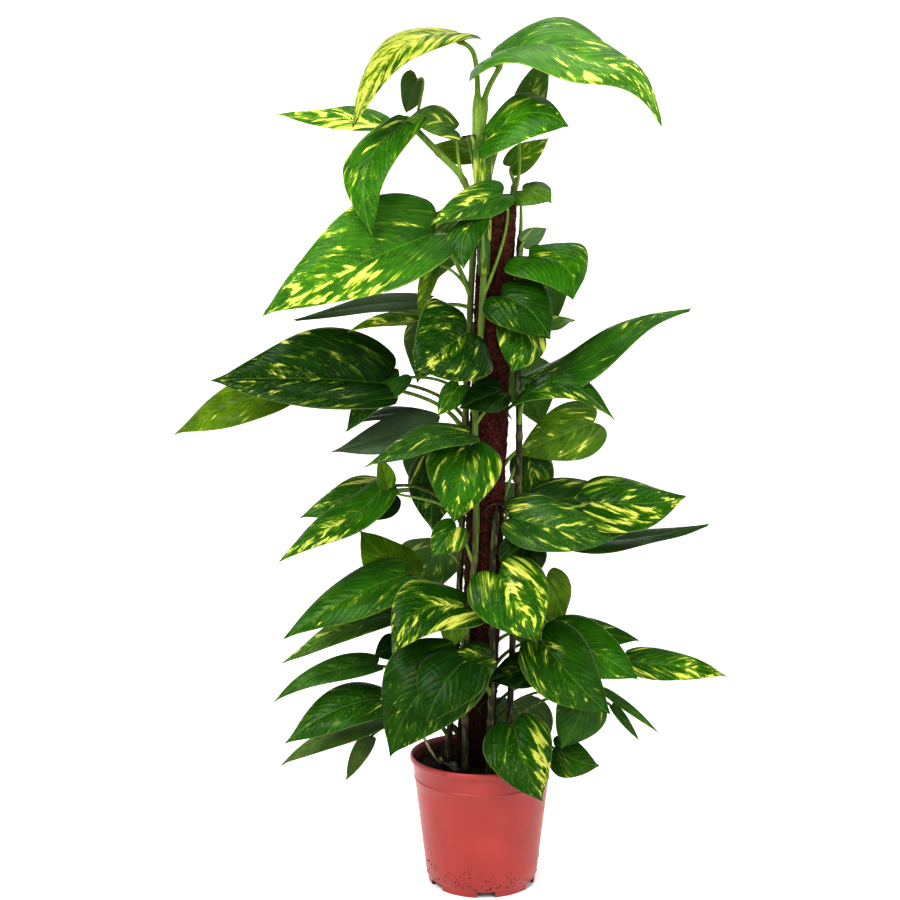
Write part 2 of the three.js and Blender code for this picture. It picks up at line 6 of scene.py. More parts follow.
import bmesh
import bpy
import numpy as np
from bpy.props import EnumProperty, FloatProperty, FloatVectorProperty, IntProperty, PointerProperty
from mathutils import Matrix, Vector, noise


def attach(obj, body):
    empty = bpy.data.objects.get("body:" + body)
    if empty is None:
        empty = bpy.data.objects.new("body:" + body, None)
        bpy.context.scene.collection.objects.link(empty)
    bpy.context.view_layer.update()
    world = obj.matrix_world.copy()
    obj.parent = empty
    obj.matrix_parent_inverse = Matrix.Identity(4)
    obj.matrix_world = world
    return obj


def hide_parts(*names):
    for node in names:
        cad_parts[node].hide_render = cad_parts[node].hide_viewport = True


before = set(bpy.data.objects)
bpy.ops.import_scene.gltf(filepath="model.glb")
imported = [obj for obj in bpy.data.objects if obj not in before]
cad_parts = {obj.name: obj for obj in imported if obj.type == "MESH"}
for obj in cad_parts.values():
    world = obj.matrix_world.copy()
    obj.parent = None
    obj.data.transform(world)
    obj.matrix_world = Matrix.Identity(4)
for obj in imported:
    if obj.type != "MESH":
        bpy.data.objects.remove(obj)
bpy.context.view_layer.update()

ROOT = "root"
MM = 0.001  # lengths below are in millimetres where nothing else is said

bl_info = {
    "name": "Potted pothos",
    "version": (1, 0, 0),
    "blender": (4, 5, 0),
    "location": "View3D > Sidebar > Pothos",
    "description": "Builds a potted pothos on a coir pole, piece by piece",
    "category": "Add Mesh",
}

# ---- Camera ----
CAMERA_PLACE = (-0.04194, -1.6, 0.65)  # metres
CAMERA_PITCH_DOWN = math.radians(2.934)
CAMERA_LENS = 49.0

# ---- Pole and pot ----
POLE_FOOT = np.array((-14.0, 0.0, 14.0))
POLE_HEAD = np.array((20.0, 0.0, 889.0))
COIR_LUMP = 0.8
COIR_SHAG = 1.1
COIR_RINGS = 300
COIR_BORE = 9.35
RIM_HEIGHT = 8.0
RING_BELOW_RIM = 29.0
FOOT_HEIGHT = 8.5
FLOOR_LEVEL = 12.0
FLOOR_THICKNESS = 3.0
REST_DISC_RADIUS = 24.0
RIM_FACES = 8
DRAIN_HOLES = 8
DRAIN_RADIUS = 5.0
DRAIN_CIRCLE = 49.0
FOOT_NOTCHES = 6
NOTCH_WIDTH = 24.0
NOTCH_HEIGHT = 7.0
NOTCH_TURN = math.radians(-87)  # one notch faces the front
SOIL_RINGS = 34
SOIL_GAP = 0.35  # between the soil and the pot
SIDES_ROUND = {"pot": 144, "specks": 72, "soil": 120, "coir": 96, "floor": 96}

# What is scattered over a surface: how far it leans from the surface's normal in radians (least
# and most), its size beside the shape that is copied (least and most) and the seed.
SPECKS = ((0.0, 1.5), (0.4, 1.6), 31)
CRUMBS = ((0.0, 1.5), (0.35, 1.6), 11)
FIBRES = ((1.05, 1.62), (0.45, 1.25), 23)
SPECK_RADIUS = 0.9
CRUMB_RADIUS = 1.35
SPECK_DENSITY = 52000.0  # on a square metre
SPECK_TOP = 60.0  # the height up to which specks cling to the pot
SPECK_RINGS = 18

# ---- Stems, petioles and aerial roots ----
STEM_RINGS = 150
FIRST_JOINT = 20.0
JOINT_GAPS = (42, 62)
JOINT_LENGTH = 3.2
PETIOLE_RINGS = 26
CROWN_FOOT = 850  # petioles of the crown that start above this height have a sheath
SHEATHED_LENGTH = 42
AERIAL_ROOTS = 9  # on each vine
AERIAL_RINGS = 8
AERIAL_HEIGHTS = (200, 840)
AERIAL_REACH = (10, 26)
AERIAL_DISTANCE = 25.4  # from the pole's axis, so that the roots lie on the coir

# ---- Stage ----
FLOOR_RADIUS = 3600.0
FLOOR_BEND = 900.0  # radius of the curve between the floor and the backdrop
FLOOR_BEND_FACES = 12
FLOOR_TOP = -0.2
LIGHT_AIM = (0, 0, 0.6)  # metres

# ---- Leaf form ----
# Half width = (u + START)^RISE * (1 - u)^FALL from heel (u = 0) to tip (u = 1).
OUTLINE_START = 0.07
OUTLINE_RISE = 0.5
OUTLINE_FALL = 1.1
LOBE_BACK = 0.13
ARCH_SKEW = 0.85
DROOP = 0.24
WAVE = 0.035
VEINS_EACH_SIDE = 11
PAINTED_VEIN_RUN = 1.5  # decimetres of leaf that hold one full set of painted side veins
NO_YELLOW_LEVEL = 0.655  # only streaks above it turn yellow on a leaf with no share of yellow
YELLOW_OVERALL = 0.8  # how much of the yellow in the table of looks shows
SIGHT_POINT = np.array((-42.0, -1600.0, 650.0))  # where the leaf places are seen from

# ---- The plant's tables ----
# A vine's route about the pole's axis: (direction in degrees from +X, distance, height).
VINES = {
    "crown": [
        (-112, 37, 92), (-114, 35, 170), (-128, 31, 300), (-112, 31, 450), (-126, 31, 600),
        (-120, 31, 740), (-122, 31, 860), (-140, 30, 912), (-176, 30, 972),
    ],
    "fork": [
        (172, 40, 92), (170, 37, 170), (178, 31, 300), (166, 31, 450), (176, 31, 600),
        (168, 31, 760), (174, 32, 870), (-172, 46, 916), (-174, 84, 955), (-175, 120, 990),
    ],
    "right": [
        (-14, 45, 92), (-12, 44, 170), (-8, 43, 300), (-6, 42, 450), (-10, 40, 600),
        (-4, 33, 700), (-8, 31, 790), (-6, 31, 856),
    ],
    "backRight": [
        (50, 38, 92), (48, 36, 170), (56, 31, 300), (46, 31, 450), (54, 31, 600),
        (48, 31, 760), (54, 31, 880), (40, 30, 925),
    ],
    "backLeft": [
        (124, 38, 92), (122, 36, 170), (130, 31, 300), (120, 31, 450), (128, 31, 600),
        (122, 31, 760), (126, 31, 880),
    ],
    "lowFront": [(-64, 44, 92), (-66, 41, 170), (-62, 33, 300), (-70, 31, 400), (-64, 31, 500)],
}

# A leaf: name, vine, height where it leaves the vine, heel and tip as (x, z) seen on the
# pole's upright plane with the depth behind it, width, the way its face looks, arch (how far
# the midrib rises), fold (how steeply the halves stand up) and bend (the midrib's sideways bow).
LEAVES = [
    ("crown_left", "crown", 948, (-28, 1093, -5), (-168, 984, -60), 100, (-5, -7, 6), 46, 0.25, 0),
    ("crown_right", "crown", 958, (17, 1062, -8), (232, 985, -70), 140, (1, -8, 8), 56, 0.25, 0),
    ("crown_heart", "crown", 930, (10, 971, -42), (112, 985, -88), 86, (0, -10, 5), 8, 0.1, 25),
    ("pole_top", "crown", 765, (26, 900, -40), (-68, 860, -76), 60, (-1, -9, 6), 6, 0.3, 2),
    ("pole_top_low", "crown", 800, (-8, 868, -70), (-24, 803, -98), 46, (-3, -10, 2), 4, 0.1, -9),
    ("heart_upper", "crown", 640, (-21, 721, -54), (-88, 670, -130.8), 118, (0, -10, 0), 12, 0.2, 0),
    ("dark_heart", "crown", 600, (24, 645, -42), (-30, 622, -68), 52, (0, -9, 5), 4, 0.2, 0),
    ("mottled_small", "crown", 610, (-30, 652, -46), (-58, 612, -62), 34, (-2, -10, 3), 2, 0.1, 0),
    ("narrow_middle", "crown", 545, (-18, 588, -58), (-155, 545, -106), 62, (0, -5, 9), 14, 0.2, 0),
    ("heart_middle", "crown", 500, (-20, 569, -52), (-37, 473, -88), 96, (0, -10, 4), 12, 0.2, 0),
    ("mottled_under", "crown", 420, (-34, 466, -40), (-66, 427, -58), 48, (-2, -10, 3), 3, 0.1, 0),
    ("heart_left", "crown", 320, (-21, 360, -54), (-118, 297, -106), 90, (-1, -9, 6), 10, 0.2, -28),
    ("pale_front", "crown", 300, (-34, 350, -46), (-44, 302, -50), 36, (0, -10, 2), 2, 0.1, 0),

    ("branch_hanging", "fork", 984, (-97, 992, -20), (-143, 845, -72), 86, (-6, -10, 2), 20, 0.2, -24),
    ("branch_long", "fork", 986, (-130, 988, 14), (-267, 1001, 34), 60, (0, -7, 8), 4, 0.3, 0),
    ("branch_folded", "fork", 980, (-84, 1046, 34), (-98, 1003, 22), 46, (-7, 7, 3), 5, 0.3, 0),
    ("branch_small", "fork", 918, (-36, 982, -16), (-100, 993, -42), 50, (0, -10, 5), 4, 0.2, -8),
    ("broad_left", "fork", 770, (-64, 848, -24), (-286, 742, -92), 142, (-1, -10, 6), 10, 0.55, 0),
    ("rolled_leaf", "fork", 770, (-62, 806, -22), (-84, 742, -30), 24, (-3, -10, 2), 2, 0.6, 0),
    ("half_rolled", "fork", 700, (-76, 736, -14), (-176, 722, -40), 40, (0, -6, 9), 6, 0.5, 0),
    ("long_left", "fork", 590, (-130, 655, -24), (-355, 659, -56), 128, (0, -10, 7), 8, 0.6, 0),
    ("narrow_left", "fork", 630, (-108, 664, -18), (-179, 592, -52), 56, (-5, -8, 4), 6, 0.3, 0),
    ("grey_left", "fork", 550, (-60, 600, -8), (-199, 565, -40), 66, (0, -7, 7), 14, 0.3, 10),
    ("pair_front", "fork", 470, (-128, 521, -20), (-268, 420, -62), 70, (-1, -5, 8), 4, 0.2, 9),
    ("curled_lobe", "fork", 470, (-124, 520, -34), (-134, 560, -40), 26, (3, -10, 2), 2, 0.4, 0),
    ("olive_up", "fork", 330, (-98, 403, 4), (-160, 462, 26), 72, (3, -9, 4), 6, 0.1, 6),
    ("low_left", "fork", 360, (-101, 403, -22), (-262, 318, -72), 80, (-1, -7, 8), 13, 0.2, 0),
    ("dark_side", "fork", 250, (-112, 312, 0), (-142, 296, -8), 36, (0, -10, 2), 2, 0.1, 0),
    ("arching_left", "fork", 250, (-138, 285, -12), (-277, 232, -42), 40, (0, -7, 8), 16, 0.3, -6),
    ("pot_left", "fork", 185, (-134, 238, -18), (-262, 178, -54), 68, (0, -7, 8), 14, 0.2, -5),

    ("olive_behind", "backLeft", 860, (-7, 953, 40), (-66, 960, 70), 50, (0, -9, 5), 6, 0.1, 0),
    ("under_broad", "backLeft", 740, (-72, 762, 42), (-246, 738, 32), 70, (0, 3, 10), 6, 0.2, 0),
    ("far_left", "backLeft", 590, (-250, 655, 26), (-404, 587, 6), 84, (0, -8, 8), 14, 0.2, 5),
    ("dark_left", "backLeft", 570, (-75, 612, 32), (-168, 606, 44), 50, (0, -4, 9), 8, 0.2, 0),
    ("mottled_left", "backLeft", 490, (-62, 550, 16), (-66, 462, 26), 70, (-2, -10, 2), 8, 0.1, 0),
    ("pair_behind", "backLeft", 480, (-135, 518, 10), (-240, 478, -4), 60, (0, -7, 8), 6, 0.2, 0),
    ("small_dark", "backLeft", 460, (-120, 510, 28), (-152, 476, 42), 50, (-3, -9, 3), 4, 0.1, 0),
    ("under_low_left", "backLeft", 320, (-115, 352, 6), (-265, 286, -26), 50, (0, -5, 9), 6, 0.2, -6),
    ("under_pot_left", "backLeft", 180, (-130, 212, 16), (-267, 148, 6), 56, (0, -4, 9), 14, 0.2, 0),
    ("hanging_low", "backLeft", 175, (-148, 188, 34), (-181, 128, 40), 26, (-4, -9, 1), 4, 0.2, 0),

    ("beside_pole_top", "right", 850, (52, 904, -16), (90, 888, -46), 58, (1, -9, 6), 6, 0.1, 0),
    ("grey_behind", "right", 800, (54, 838, -24), (84, 856, -30), 26, (0, 10, 2), 2, 0.1, 0),
    ("heart_right_top", "right", 770, (60, 818, -42), (119, 765, -80), 98, (3, -10, 4), 8, 0.1, 22),
    ("heart_right", "right", 730, (25, 768, -50), (89, 712, -78), 82, (1, -10, 3), 8, 0.1, 8),
    ("small_right", "right", 690, (48, 727, -42), (40, 669, -64), 66, (2, -10, 3), 6, 0.1, 6),
    ("long_right", "right", 630, (64, 660, -20), (272, 753, -36), 94, (0, -5, 10), 4, 0.2, -8),
    ("arching_right", "right", 600, (50, 626, -24), (174, 607, -72), 84, (0, -5, 10), 42, 0.2, 0),
    ("folded_right", "right", 440, (40, 480, -48), (187, 458, -78), 80, (1, -9, 6), 10, 0.3, -12),
    ("pointed_right", "right", 450, (145, 500, -42), (268, 507, -62), 96, (0, -8, 8), 8, 0.2, -14),
    ("mottled_right", "right", 470, (75, 500, 12), (200, 505, 6), 74, (0, -8, 7), 6, 0.2, 0),
    ("dark_above", "right", 400, (58, 446, -36), (40, 385, -50), 62, (1, -10, 3), 4, 0.1, 0),
    ("variegated_heart", "right", 370, (22, 404, -56), (73, 312, -96), 104, (1, -10, 3), 12, 0.2, 0),
    ("front_right", "right", 280, (80, 316, -44), (170, 218, -88), 98, (3, -10, 4), 12, 0.2, -9),
    ("dark_low", "right", 250, (70, 282, -20), (8, 262, -46), 50, (0, -9, 5), 4, 0.2, 0),
    ("olive_low_right", "right", 200, (140, 240, -40), (105, 172, -62), 70, (2, -10, 2), 6, 0.1, 0),

    ("upright_striped", "backRight", 900, (50, 985, 26), (84, 1082, 50), 44, (2, 10, 0), -6, 0.2, 0),
    ("small_behind", "backRight", 915, (37, 935, 34), (86, 972, 46), 38, (0, -10, 3), 4, 0.1, 0),
    ("pale_tip", "backRight", 700, (80, 730, 52), (122, 738, 76), 44, (0, -4, 9), 4, 0.2, 0),
    ("light_olive", "backRight", 540, (146, 604, 48), (44, 562, 34), 80, (0, -10, 2), 6, 0.1, 0),
    ("mottled_behind", "backRight", 490, (60, 560, 62), (80, 490, 74), 60, (1, -10, 1), 6, 0.1, 0),
    ("under_right", "backRight", 410, (120, 450, 18), (299, 472, -8), 70, (0, -3, 10), -8, 0.2, 0),
    ("olive_right", "backRight", 350, (84, 398, 14), (110, 343, 28), 58, (2, -10, 2), 5, 0.1, 0),
    ("behind_right", "backRight", 300, (110, 330, 24), (208, 316, 22), 50, (0, -7, 8), 6, 0.2, 0),
    ("beside_right", "backRight", 270, (98, 322, -6), (207, 264, -30), 84, (1, -9, 6), 10, 0.2, 2),
    ("far_right", "backRight", 240, (195, 289, 44), (325, 268, 20), 50, (0, -8, 7), 9, 0.2, 0),
    ("thin_right", "backRight", 215, (160, 250, 18), (237, 191, 8), 15, (0, -7, 8), 3, 0.4, 0),
    ("thin_low_right", "backRight", 195, (172, 230, 26), (209, 182, 28), 14, (0, -8, 6), 2, 0.4, 0),
    ("lowest_right", "backRight", 178, (99, 172, -42), (157, 150, -52), 54, (0, -8, 6), 6, 0.1, -8),

    ("front_left", "lowFront", 250, (-30, 286, -66), (-121, 160, -108), 122, (-2, -10, 4), 18, 0.2, -14),
    ("small_front", "lowFront", 290, (-27, 285, -92), (-73, 208, -128), 84, (-2, -10, 4), 8, 0.1, -4),
    ("mottled_front", "lowFront", 270, (12, 294, -52), (-42, 296, -84), 44, (0, -7, 7), 4, 0.2, 0),
    ("low_front", "lowFront", 180, (43, 201, -72), (82, 101, -114), 90, (2, -10, 4), 12, 0.2, -8),

    ("back_1", "backLeft", 850, (-25, 868, 92), (-60, 790, 170), 98, (-2, 10, 6), 14, 0.2, 0),
    ("back_2", "backRight", 760, (58, 800, 92), (92, 730, 175), 104, (2, 10, 6), 14, 0.2, 0),
    ("back_3", "backLeft", 660, (-40, 730, 94), (-85, 655, 178), 108, (-2, 10, 6), 16, 0.2, 0),
    ("back_4", "backRight", 640, (42, 680, 96), (78, 600, 178), 100, (2, 10, 6), 14, 0.2, 0),
    ("back_5", "backLeft", 530, (-42, 590, 98), (-92, 520, 182), 110, (-2, 10, 6), 16, 0.2, 0),
    ("back_6", "backRight", 440, (50, 520, 98), (92, 440, 178), 106, (2, 10, 6), 14, 0.2, 0),
    ("back_7", "backLeft", 380, (-48, 440, 98), (-96, 365, 180), 108, (-2, 10, 6), 16, 0.2, 0),
    ("back_8", "backRight", 310, (46, 365, 100), (96, 290, 176), 104, (2, 10, 6), 14, 0.2, 0),
    ("back_9", "backLeft", 240, (-46, 300, 98), (-96, 215, 168), 108, (-2, 10, 6), 16, 0.2, 0),
    ("back_10", "backRight", 185, (44, 232, 96), (70, 150, 148), 92, (2, 10, 6), 12, 0.2, 0),
]

# How each leaf is coloured: tone (0 deep green, 0.5 bright green, 1 olive, which paints the light
# through a leaf lit from behind), brightness (painted light and shade: how lit the leaf stands in
# the plant), greyness (dust and a painted sheen), the share of yellow on the half with v < 0 and on
# the half with v > 0 (the lower half of a leaf that points left, the upper half of one that points
# right). Two more numbers say where the yellow starts and ends between heel (0) and tip (1), if it
# doesn't run along the whole leaf.
LOOKS = {
    "crown_left": (0.7, 0.7, 0.0, 0.9, 0.68),
    "crown_right": (0.62, 1.45, 0.2, 0.36, 0.32, 0.42, 1.0),
    "crown_heart": (0.55, 1.15, 0.0, 0.06, 0.14),
    "pole_top": (0.4, 0.95, 0.1, 0.35, 0.3, 0.2, 1.0),
    "pole_top_low": (0.3, 0.8, 0.0, 0.12, 0.05),
    "heart_upper": (0.15, 0.74, 0.0, 0.16, 0.24, 0.15, 1.0),
    "dark_heart": (0.1, 0.5, 0.0, 0.0, 0.1),
    "mottled_small": (0.5, 0.8, 0.0, 0.22, 0.25),
    "narrow_middle": (0.3, 0.8, 0.1, 0.1, 0.25),
    "heart_middle": (0.42, 0.85, 0.0, 0.18, 0.45, 0.15, 0.9),
    "mottled_under": (0.4, 0.8, 0.0, 0.35, 0.3),
    "heart_left": (0.2, 0.8, 0.0, 0.24, 0.6),
    "pale_front": (0.9, 1.3, 0.1, 0.2, 0.2),
    "branch_hanging": (0.5, 1.05, 0.02, 0.36, 0.14, 0.1, 0.9),
    "branch_long": (0.6, 1.15, 0.05, 0.55, 0.5),
    "branch_folded": (0.8, 0.65, 0.1, 0.0, 0.0),
    "branch_small": (0.7, 1.0, 0.25, 0.4, 0.3),
    "broad_left": (0.58, 1.2, 0.1, 0.38, 0.5, 0.35, 1.0),
    "rolled_leaf": (0.9, 1.15, 0.1, 0.3, 0.3),
    "half_rolled": (0.75, 1.15, 0.0, 0.5, 0.4),
    "long_left": (0.12, 0.66, 0.0, 0.22, 0.18, 0.2, 1.0),
    "narrow_left": (0.35, 0.85, 0.1, 0.15, 0.1),
    "grey_left": (0.2, 0.6, 0.65, 0.05, 0.1),
    "pair_front": (0.42, 0.85, 0.0, 0.2, 0.42, 0.35, 1.0),
    "curled_lobe": (0.9, 0.9, 0.0, 0.0, 0.0),
    "olive_up": (0.85, 1.0, 0.0, 0.0, 0.0),
    "low_left": (0.5, 0.78, 0.04, 0.05, 0.1),
    "dark_side": (0.1, 0.5, 0.0, 0.0, 0.0),
    "arching_left": (0.5, 0.8, 0.1, 0.1, 0.1),
    "pot_left": (0.3, 0.85, 0.05, 0.12, 0.1),
    "olive_behind": (1.0, 1.0, 0.0, 0.05, 0.0),
    "under_broad": (0.3, 0.5, 0.1, 0.0, 0.0),
    "far_left": (1.0, 0.9, 0.0, 0.06, 0.06),
    "dark_left": (0.2, 0.5, 0.35, 0.0, 0.05),
    "mottled_left": (0.2, 0.75, 0.0, 0.26, 0.2),
    "pair_behind": (0.4, 0.9, 0.05, 0.2, 0.1),
    "small_dark": (0.1, 0.45, 0.0, 0.0, 0.0),
    "under_low_left": (0.7, 0.85, 0.15, 0.32, 0.1, 0.3, 1.0),
    "under_pot_left": (0.8, 0.75, 0.3, 0.2, 0.1, 0.4, 1.0),
    "hanging_low": (0.85, 0.6, 0.25, 0.1, 0.1),
    "beside_pole_top": (0.75, 0.85, 0.1, 0.0, 0.0),
    "grey_behind": (0.5, 1.0, 0.7, 0.1, 0.0),
    "heart_right_top": (0.46, 0.9, 0.0, 0.04, 0.16, 0.0, 0.7),
    "heart_right": (0.24, 0.76, 0.0, 0.12, 0.03, 0.0, 0.5),
    "small_right": (0.3, 0.85, 0.0, 0.22, 0.3),
    "long_right": (0.42, 0.85, 0.06, 0.05, 0.24, 0.5, 1.0),
    "arching_right": (0.3, 0.8, 0.0, 0.34, 0.05, 0.35, 1.0),
    "folded_right": (0.3, 0.85, 0.1, 0.28, 0.24),
    "pointed_right": (0.3, 0.85, 0.0, 0.5, 0.26),
    "mottled_right": (0.2, 0.72, 0.1, 0.2, 0.2),
    "dark_above": (0.15, 0.5, 0.0, 0.05, 0.05),
    "variegated_heart": (0.34, 0.85, 0.0, 0.42, 0.55, 0.0, 0.9),
    "front_right": (0.32, 0.7, 0.0, 0.3, 0.06, 0.0, 0.8),
    "dark_low": (0.1, 0.45, 0.0, 0.0, 0.0),
    "olive_low_right": (0.6, 0.6, 0.1, 0.0, 0.03),
    "upright_striped": (0.7, 1.15, 0.15, 0.4, 0.4),
    "small_behind": (0.8, 1.1, 0.1, 0.35, 0.25),
    "pale_tip": (0.7, 1.3, 0.3, 0.3, 0.3),
    "light_olive": (0.8, 1.15, 0.1, 0.24, 0.24),
    "mottled_behind": (0.3, 0.85, 0.0, 0.36, 0.34),
    "under_right": (0.3, 0.6, 0.1, 0.0, 0.0),
    "olive_right": (0.9, 0.9, 0.0, 0.0, 0.0),
    "behind_right": (0.3, 0.8, 0.0, 0.05, 0.05),
    "beside_right": (0.45, 0.95, 0.0, 0.18, 0.03, 0.2, 1.0),
    "far_right": (0.4, 0.95, 0.0, 0.45, 0.4),
    "thin_right": (0.6, 0.8, 0.1, 0.2, 0.2),
    "thin_low_right": (0.6, 0.7, 0.1, 0.2, 0.2),
    "lowest_right": (0.6, 0.55, 0.0, 0.08, 0.1),
    "front_left": (0.26, 0.6, 0.0, 0.14, 0.14, 0.3, 1.0),
    "small_front": (0.2, 0.6, 0.0, 0.0, 0.05),
    "mottled_front": (0.2, 0.66, 0.0, 0.2, 0.2),
    "low_front": (0.28, 0.68, 0.0, 0.14, 0.5, 0.1, 1.0),
}

# Leaves whose midrib swings down and then up again, and how far in millimetres.
SWINGS = {"long_right": 9.0, "pair_front": 7.0, "far_right": 3.0, "arching_left": 3.0, "far_left": 3.0}

# Leaves that bend sharply near the heel and near the tip, and how far in millimetres.
SHOULDERS = {"crown_right": (8.0, 15.0)}

# Petioles that rise beside the vine before they bend to the leaf, 0 to 1.
UPRIGHT_PETIOLES = {"crown_left": 1.0, "crown_right": 0.9, "branch_long": 0.3}
# Petioles that bend over at the top and come down into the heel.
HOOKED_PETIOLES = {"crown_left"}

# A sheath on the crown's stem: the way it faces in degrees, its foot and head heights, how far
# it wraps to each side in radians, and how far its head stands off the stem.
SHEATHS = [
    (-100, 858, 958, 1.5, 9),
    (-20, 872, 1000, 1.2, 17),
    (-165, 880, 1006, 1.1, 15),
    (-60, 900, 1016, 1.1, 11),
    (-125, 885, 990, 1.2, 12),
    (-112, 792, 896, 1.7, 4),
    (-60, 836, 908, 1.3, 6),
    (-42, 868, 988, 1.2, 34),
    (-72, 862, 976, 1.4, 24),
]

# Dead bits on the soil, in front and to the left of the pole.
DRY_PETIOLE = [
    (-79, -6, 194), (-73, -9, 183), (-66, -13, 171), (-58, -15, 161), (-52, -10, 158), (-55, -4, 161),
]
DRY_LEAF_HEEL = (-56, -14, 158)
DRY_LEAF_TIP = (-30, -46, 158)

# How much browner than the rest a vine is.
VINE_AGES = {"right": 0.6, "backRight": 0.4, "lowFront": 0.4, "backLeft": 0.3, "fork": 0.15}

# How brown a petiole is, from 0 to 1, where it differs from the plain ones.
PLAIN_PETIOLE_AGE = 0.15
PETIOLE_AGES = {
    "long_left": 0.5, "pair_front": 0.75, "low_left": 0.75, "olive_up": 0.75, "far_left": 0.55,
    "narrow_left": 0.5, "under_low_left": 0.6, "crown_left": 0.0, "crown_right": 0.05,
    "branch_hanging": 0.05, "branch_long": 0.05, "branch_small": 0.0, "arching_left": 0.3,
}

# The node of the frame that each vine is.
VINE_NODES = {
    "crown": "vine_crown",
    "fork": "vine_fork",
    "right": "vine_right",
    "backRight": "vine_back_right",
    "backLeft": "vine_back_left",
    "lowFront": "vine_low_front",
}


# ---- Settings a user would change ----
def length(name, description, default):
    return FloatProperty(name=name, description=description, default=default, unit="LENGTH")


def colour_of(name, description, default):
    return FloatVectorProperty(name=name, description=description, default=default, subtype="COLOR")


class PothosPotSettings(bpy.types.PropertyGroup):
    height: length("Height", "Pot height", 0.167)
    rim_radius: length("Rim radius", "Outside of the rolled rim", 0.095)
    neck_radius: length("Neck radius", "Outside just under the rim", 0.0915)
    base_radius: length("Base radius", "Outside of the foot", 0.0715)
    wall: length("Wall", "Wall thickness", 0.002)
    colour: colour_of("Plastic", "Colour of the pot", (0.262, 0.026, 0.02))


class PothosSoilSettings(bpy.types.PropertyGroup):
    level: length("Level", "Height of the soil's surface", 0.153)
    crumbs: FloatProperty(
        name="Crumbs", description="Crumbs and bark bits on a square metre", default=52000.0
    )
    colour: colour_of("Soil", "Colour of the damp soil", (0.009, 0.006, 0.004))


class PothosPoleSettings(bpy.types.PropertyGroup):
    radius: length("Sleeve radius", "Outside of the coir sleeve", 0.0243)
    fibres: FloatProperty(
        name="Fibres", description="Loose fibres on a square metre of coir", default=26000.0
    )
    fibre_length: length("Fibre length", "Length of a loose fibre", 0.014)
    colour: colour_of("Coir", "Colour of the coir", (0.058, 0.011, 0.006))


class PothosLeafSettings(bpy.types.PropertyGroup):
    thickness: length("Thickness", "Blade thickness by the midrib", 0.0008)
    quilting: length("Quilting", "Depth of the waves between side veins", 0.0004)
    rows: IntProperty(name="Rows", description="Rows of faces from heel to tip", default=44, min=8)
    columns: IntProperty(name="Columns", description="Faces from margin to margin", default=24, min=4)
    deep: colour_of("Deep green", "Older leaves", (0.0035, 0.031, 0.0015))
    bright: colour_of("Bright green", "Full-grown leaves", (0.034, 0.138, 0.003))
    olive: colour_of("Olive", "Leaves lit from behind", (0.12, 0.205, 0.005))
    yellow: colour_of("Yellow", "The variegation", (0.6, 0.6, 0.13))


class PothosStalkSettings(bpy.types.PropertyGroup):
    stem_radius: length("Vine radius", "Radius of a vine between joints", 0.0043)
    petiole_radius: length("Petiole radius", "Radius of the thinnest petiole", 0.0015)
    sides: IntProperty(name="Sides", description="Faces round a stalk", default=12, min=6)
    green: colour_of("Green", "Young stalks", (0.2, 0.34, 0.045))
    brown: colour_of("Brown", "Old stalks", (0.022, 0.018, 0.006))


class PothosStageSettings(bpy.types.PropertyGroup):
    floor: colour_of("Floor", "Colour of floor and backdrop", (0.92, 0.92, 0.92))
    contrast: FloatProperty(name="Contrast", description="Below 1 deepens the shadows", default=0.78)
    glow: FloatProperty(name="Glow", description="Light that the backdrop gives off", default=0.29)
    key: FloatProperty(name="Key light", description="Power of the key light", default=82.0)
    fill: FloatProperty(name="Fill light", description="Power of the fill light", default=21.0)
    surround: FloatProperty(name="Surround", description="Strength of the light all round", default=0.34)


# ---- Nodes ----
def feed(socket, value):
    """Links a value that nodes work out to a socket, or sets a plain one on it."""
    if isinstance(value, Amount):
        value = value.socket
    if isinstance(value, bpy.types.NodeSocket):
        socket.id_data.links.new(value, socket)
    elif isinstance(value, str) or not hasattr(value, "__len__"):
        socket.default_value = value
    else:
        wanted = len(socket.default_value)
        socket.default_value = (tuple(value) + (1.0,) * wanted)[:wanted]


def new_node(tree, kind, inputs, **settings):
    """A node with its settings made, and its inputs fed by their names or numbers."""
    node = tree.nodes.new(kind)
    for key, value in settings.items():
        setattr(node, key, value)
    for key, value in inputs.items():
        feed(node.inputs[key], value)
    return node


class Amount:
    """A value that changes over a surface; arithmetic on it adds the nodes that work it out."""

    def __init__(self, socket):
        self.socket = socket

    def worked_out(self, operation, first, second=0.0):
        inputs = {0: first, 1: second}
        node = new_node(self.socket.id_data, "ShaderNodeMath", inputs, operation=operation)
        return Amount(node.outputs[0])

    def __add__(self, other):
        return self.worked_out("ADD", self, other)

    def __sub__(self, other):
        return self.worked_out("SUBTRACT", self, other)

    def __rsub__(self, other):
        return self.worked_out("SUBTRACT", other, self)

    def __mul__(self, other):
        return self.worked_out("MULTIPLY", self, other)

    __radd__ = __add__

    def or_more(self, other):
        return self.worked_out("MAXIMUM", self, other)

    def is_above(self, other):
        return self.worked_out("GREATER_THAN", self, other)

    def sine(self):
        return self.worked_out("SINE", self)

    def root(self):
        return self.worked_out("SQRT", self)

    def clamped(self):
        self.socket.node.use_clamp = True
        return self


